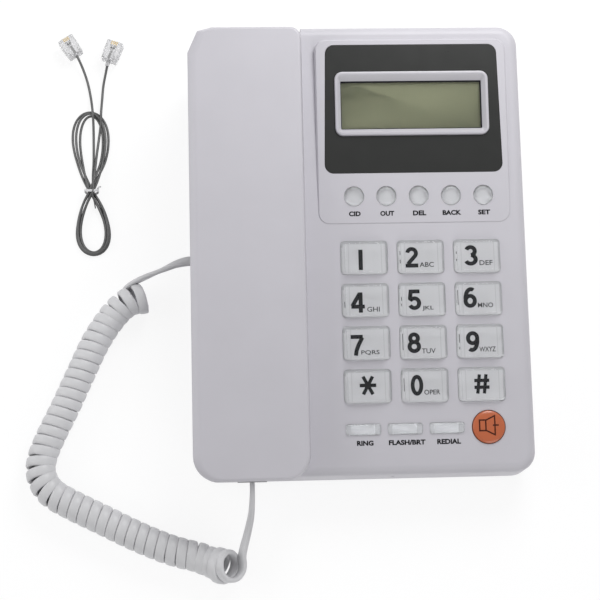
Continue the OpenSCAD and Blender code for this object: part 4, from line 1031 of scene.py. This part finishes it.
def background_rays(tree):
    """1 for camera, glossy and transmission rays, so that all of them see the white background."""
    path = tree.nodes.new("ShaderNodeLightPath")
    seen = path.outputs["Is Camera Ray"]
    for kind in ("Is Glossy Ray", "Is Transmission Ray"):
        either = tree.nodes.new("ShaderNodeMath")
        either.operation = "MAXIMUM"
        tree.links.new(seen, either.inputs[0])
        tree.links.new(path.outputs[kind], either.inputs[1])
        seen = either.outputs[0]
    return seen


def empty_tree(block):
    block.use_nodes = True
    block.node_tree.nodes.clear()
    return block.node_tree


def make_world():
    """White where background rays see it, and a plain soft light on the object."""
    world = bpy.data.worlds.new("studio")
    bpy.context.scene.world = world
    tree = empty_tree(world)
    out = tree.nodes.new("ShaderNodeOutputWorld")
    sky = tree.nodes.new("ShaderNodeBackground")
    sky.inputs["Color"].default_value = (1, 1, 1, 1)
    strength = tree.nodes.new("ShaderNodeMapRange")
    strength.inputs["To Min"].default_value = SKY_LIGHT
    strength.inputs["To Max"].default_value = 1.0
    tree.links.new(background_rays(tree), strength.inputs["Value"])
    tree.links.new(strength.outputs["Result"], sky.inputs["Strength"])
    tree.links.new(sky.outputs["Background"], out.inputs["Surface"])


def make_lamp(name, place, size, power):
    data = bpy.data.lights.new(name, "AREA")
    data.shape = "DISK"
    data.size = size
    data.energy = power
    lamp = bpy.data.objects.new(name, data)
    bpy.context.scene.collection.objects.link(lamp)
    lamp.location = place
    lamp.rotation_euler = (Vector(AIM) - Vector(place)).to_track_quat("-Z", "Y").to_euler()


def make_floor():
    """A white floor that keeps the object's shadow and glows for background rays alone."""
    paper = bpy.data.materials.new("floor")
    tree = empty_tree(paper)
    out = tree.nodes.new("ShaderNodeOutputMaterial")
    paint = tree.nodes.new("ShaderNodeBsdfDiffuse")
    paint.inputs["Color"].default_value = (0.82, 0.82, 0.83, 1)
    glow = tree.nodes.new("ShaderNodeEmission")
    glow.inputs["Color"].default_value = (1, 1, 1, 1)
    glow.inputs["Strength"].default_value = FLOOR_GLOW
    share = tree.nodes.new("ShaderNodeMath")
    share.operation = "MULTIPLY"
    share.inputs[1].default_value = GLOW_SHARE
    tree.links.new(background_rays(tree), share.inputs[0])
    mix = tree.nodes.new("ShaderNodeMixShader")
    tree.links.new(share.outputs[0], mix.inputs["Fac"])
    tree.links.new(paint.outputs[0], mix.inputs[1])
    tree.links.new(glow.outputs[0], mix.inputs[2])
    tree.links.new(mix.outputs[0], out.inputs["Surface"])
    h = FLOOR_HALF
    mesh = mesh_from("floor", [(-h, -h, 0), (h, -h, 0), (h, h, 0), (-h, h, 0)], [(0, 1, 2, 3)])
    ground = add_object("floor", mesh, material=paper)
    ground.location.z = -FLOOR_DROP


bpy.context.scene.view_settings.view_transform = "Standard"
make_world()
for lamp_row in LAMPS:
    make_lamp(*lamp_row)
make_floor()
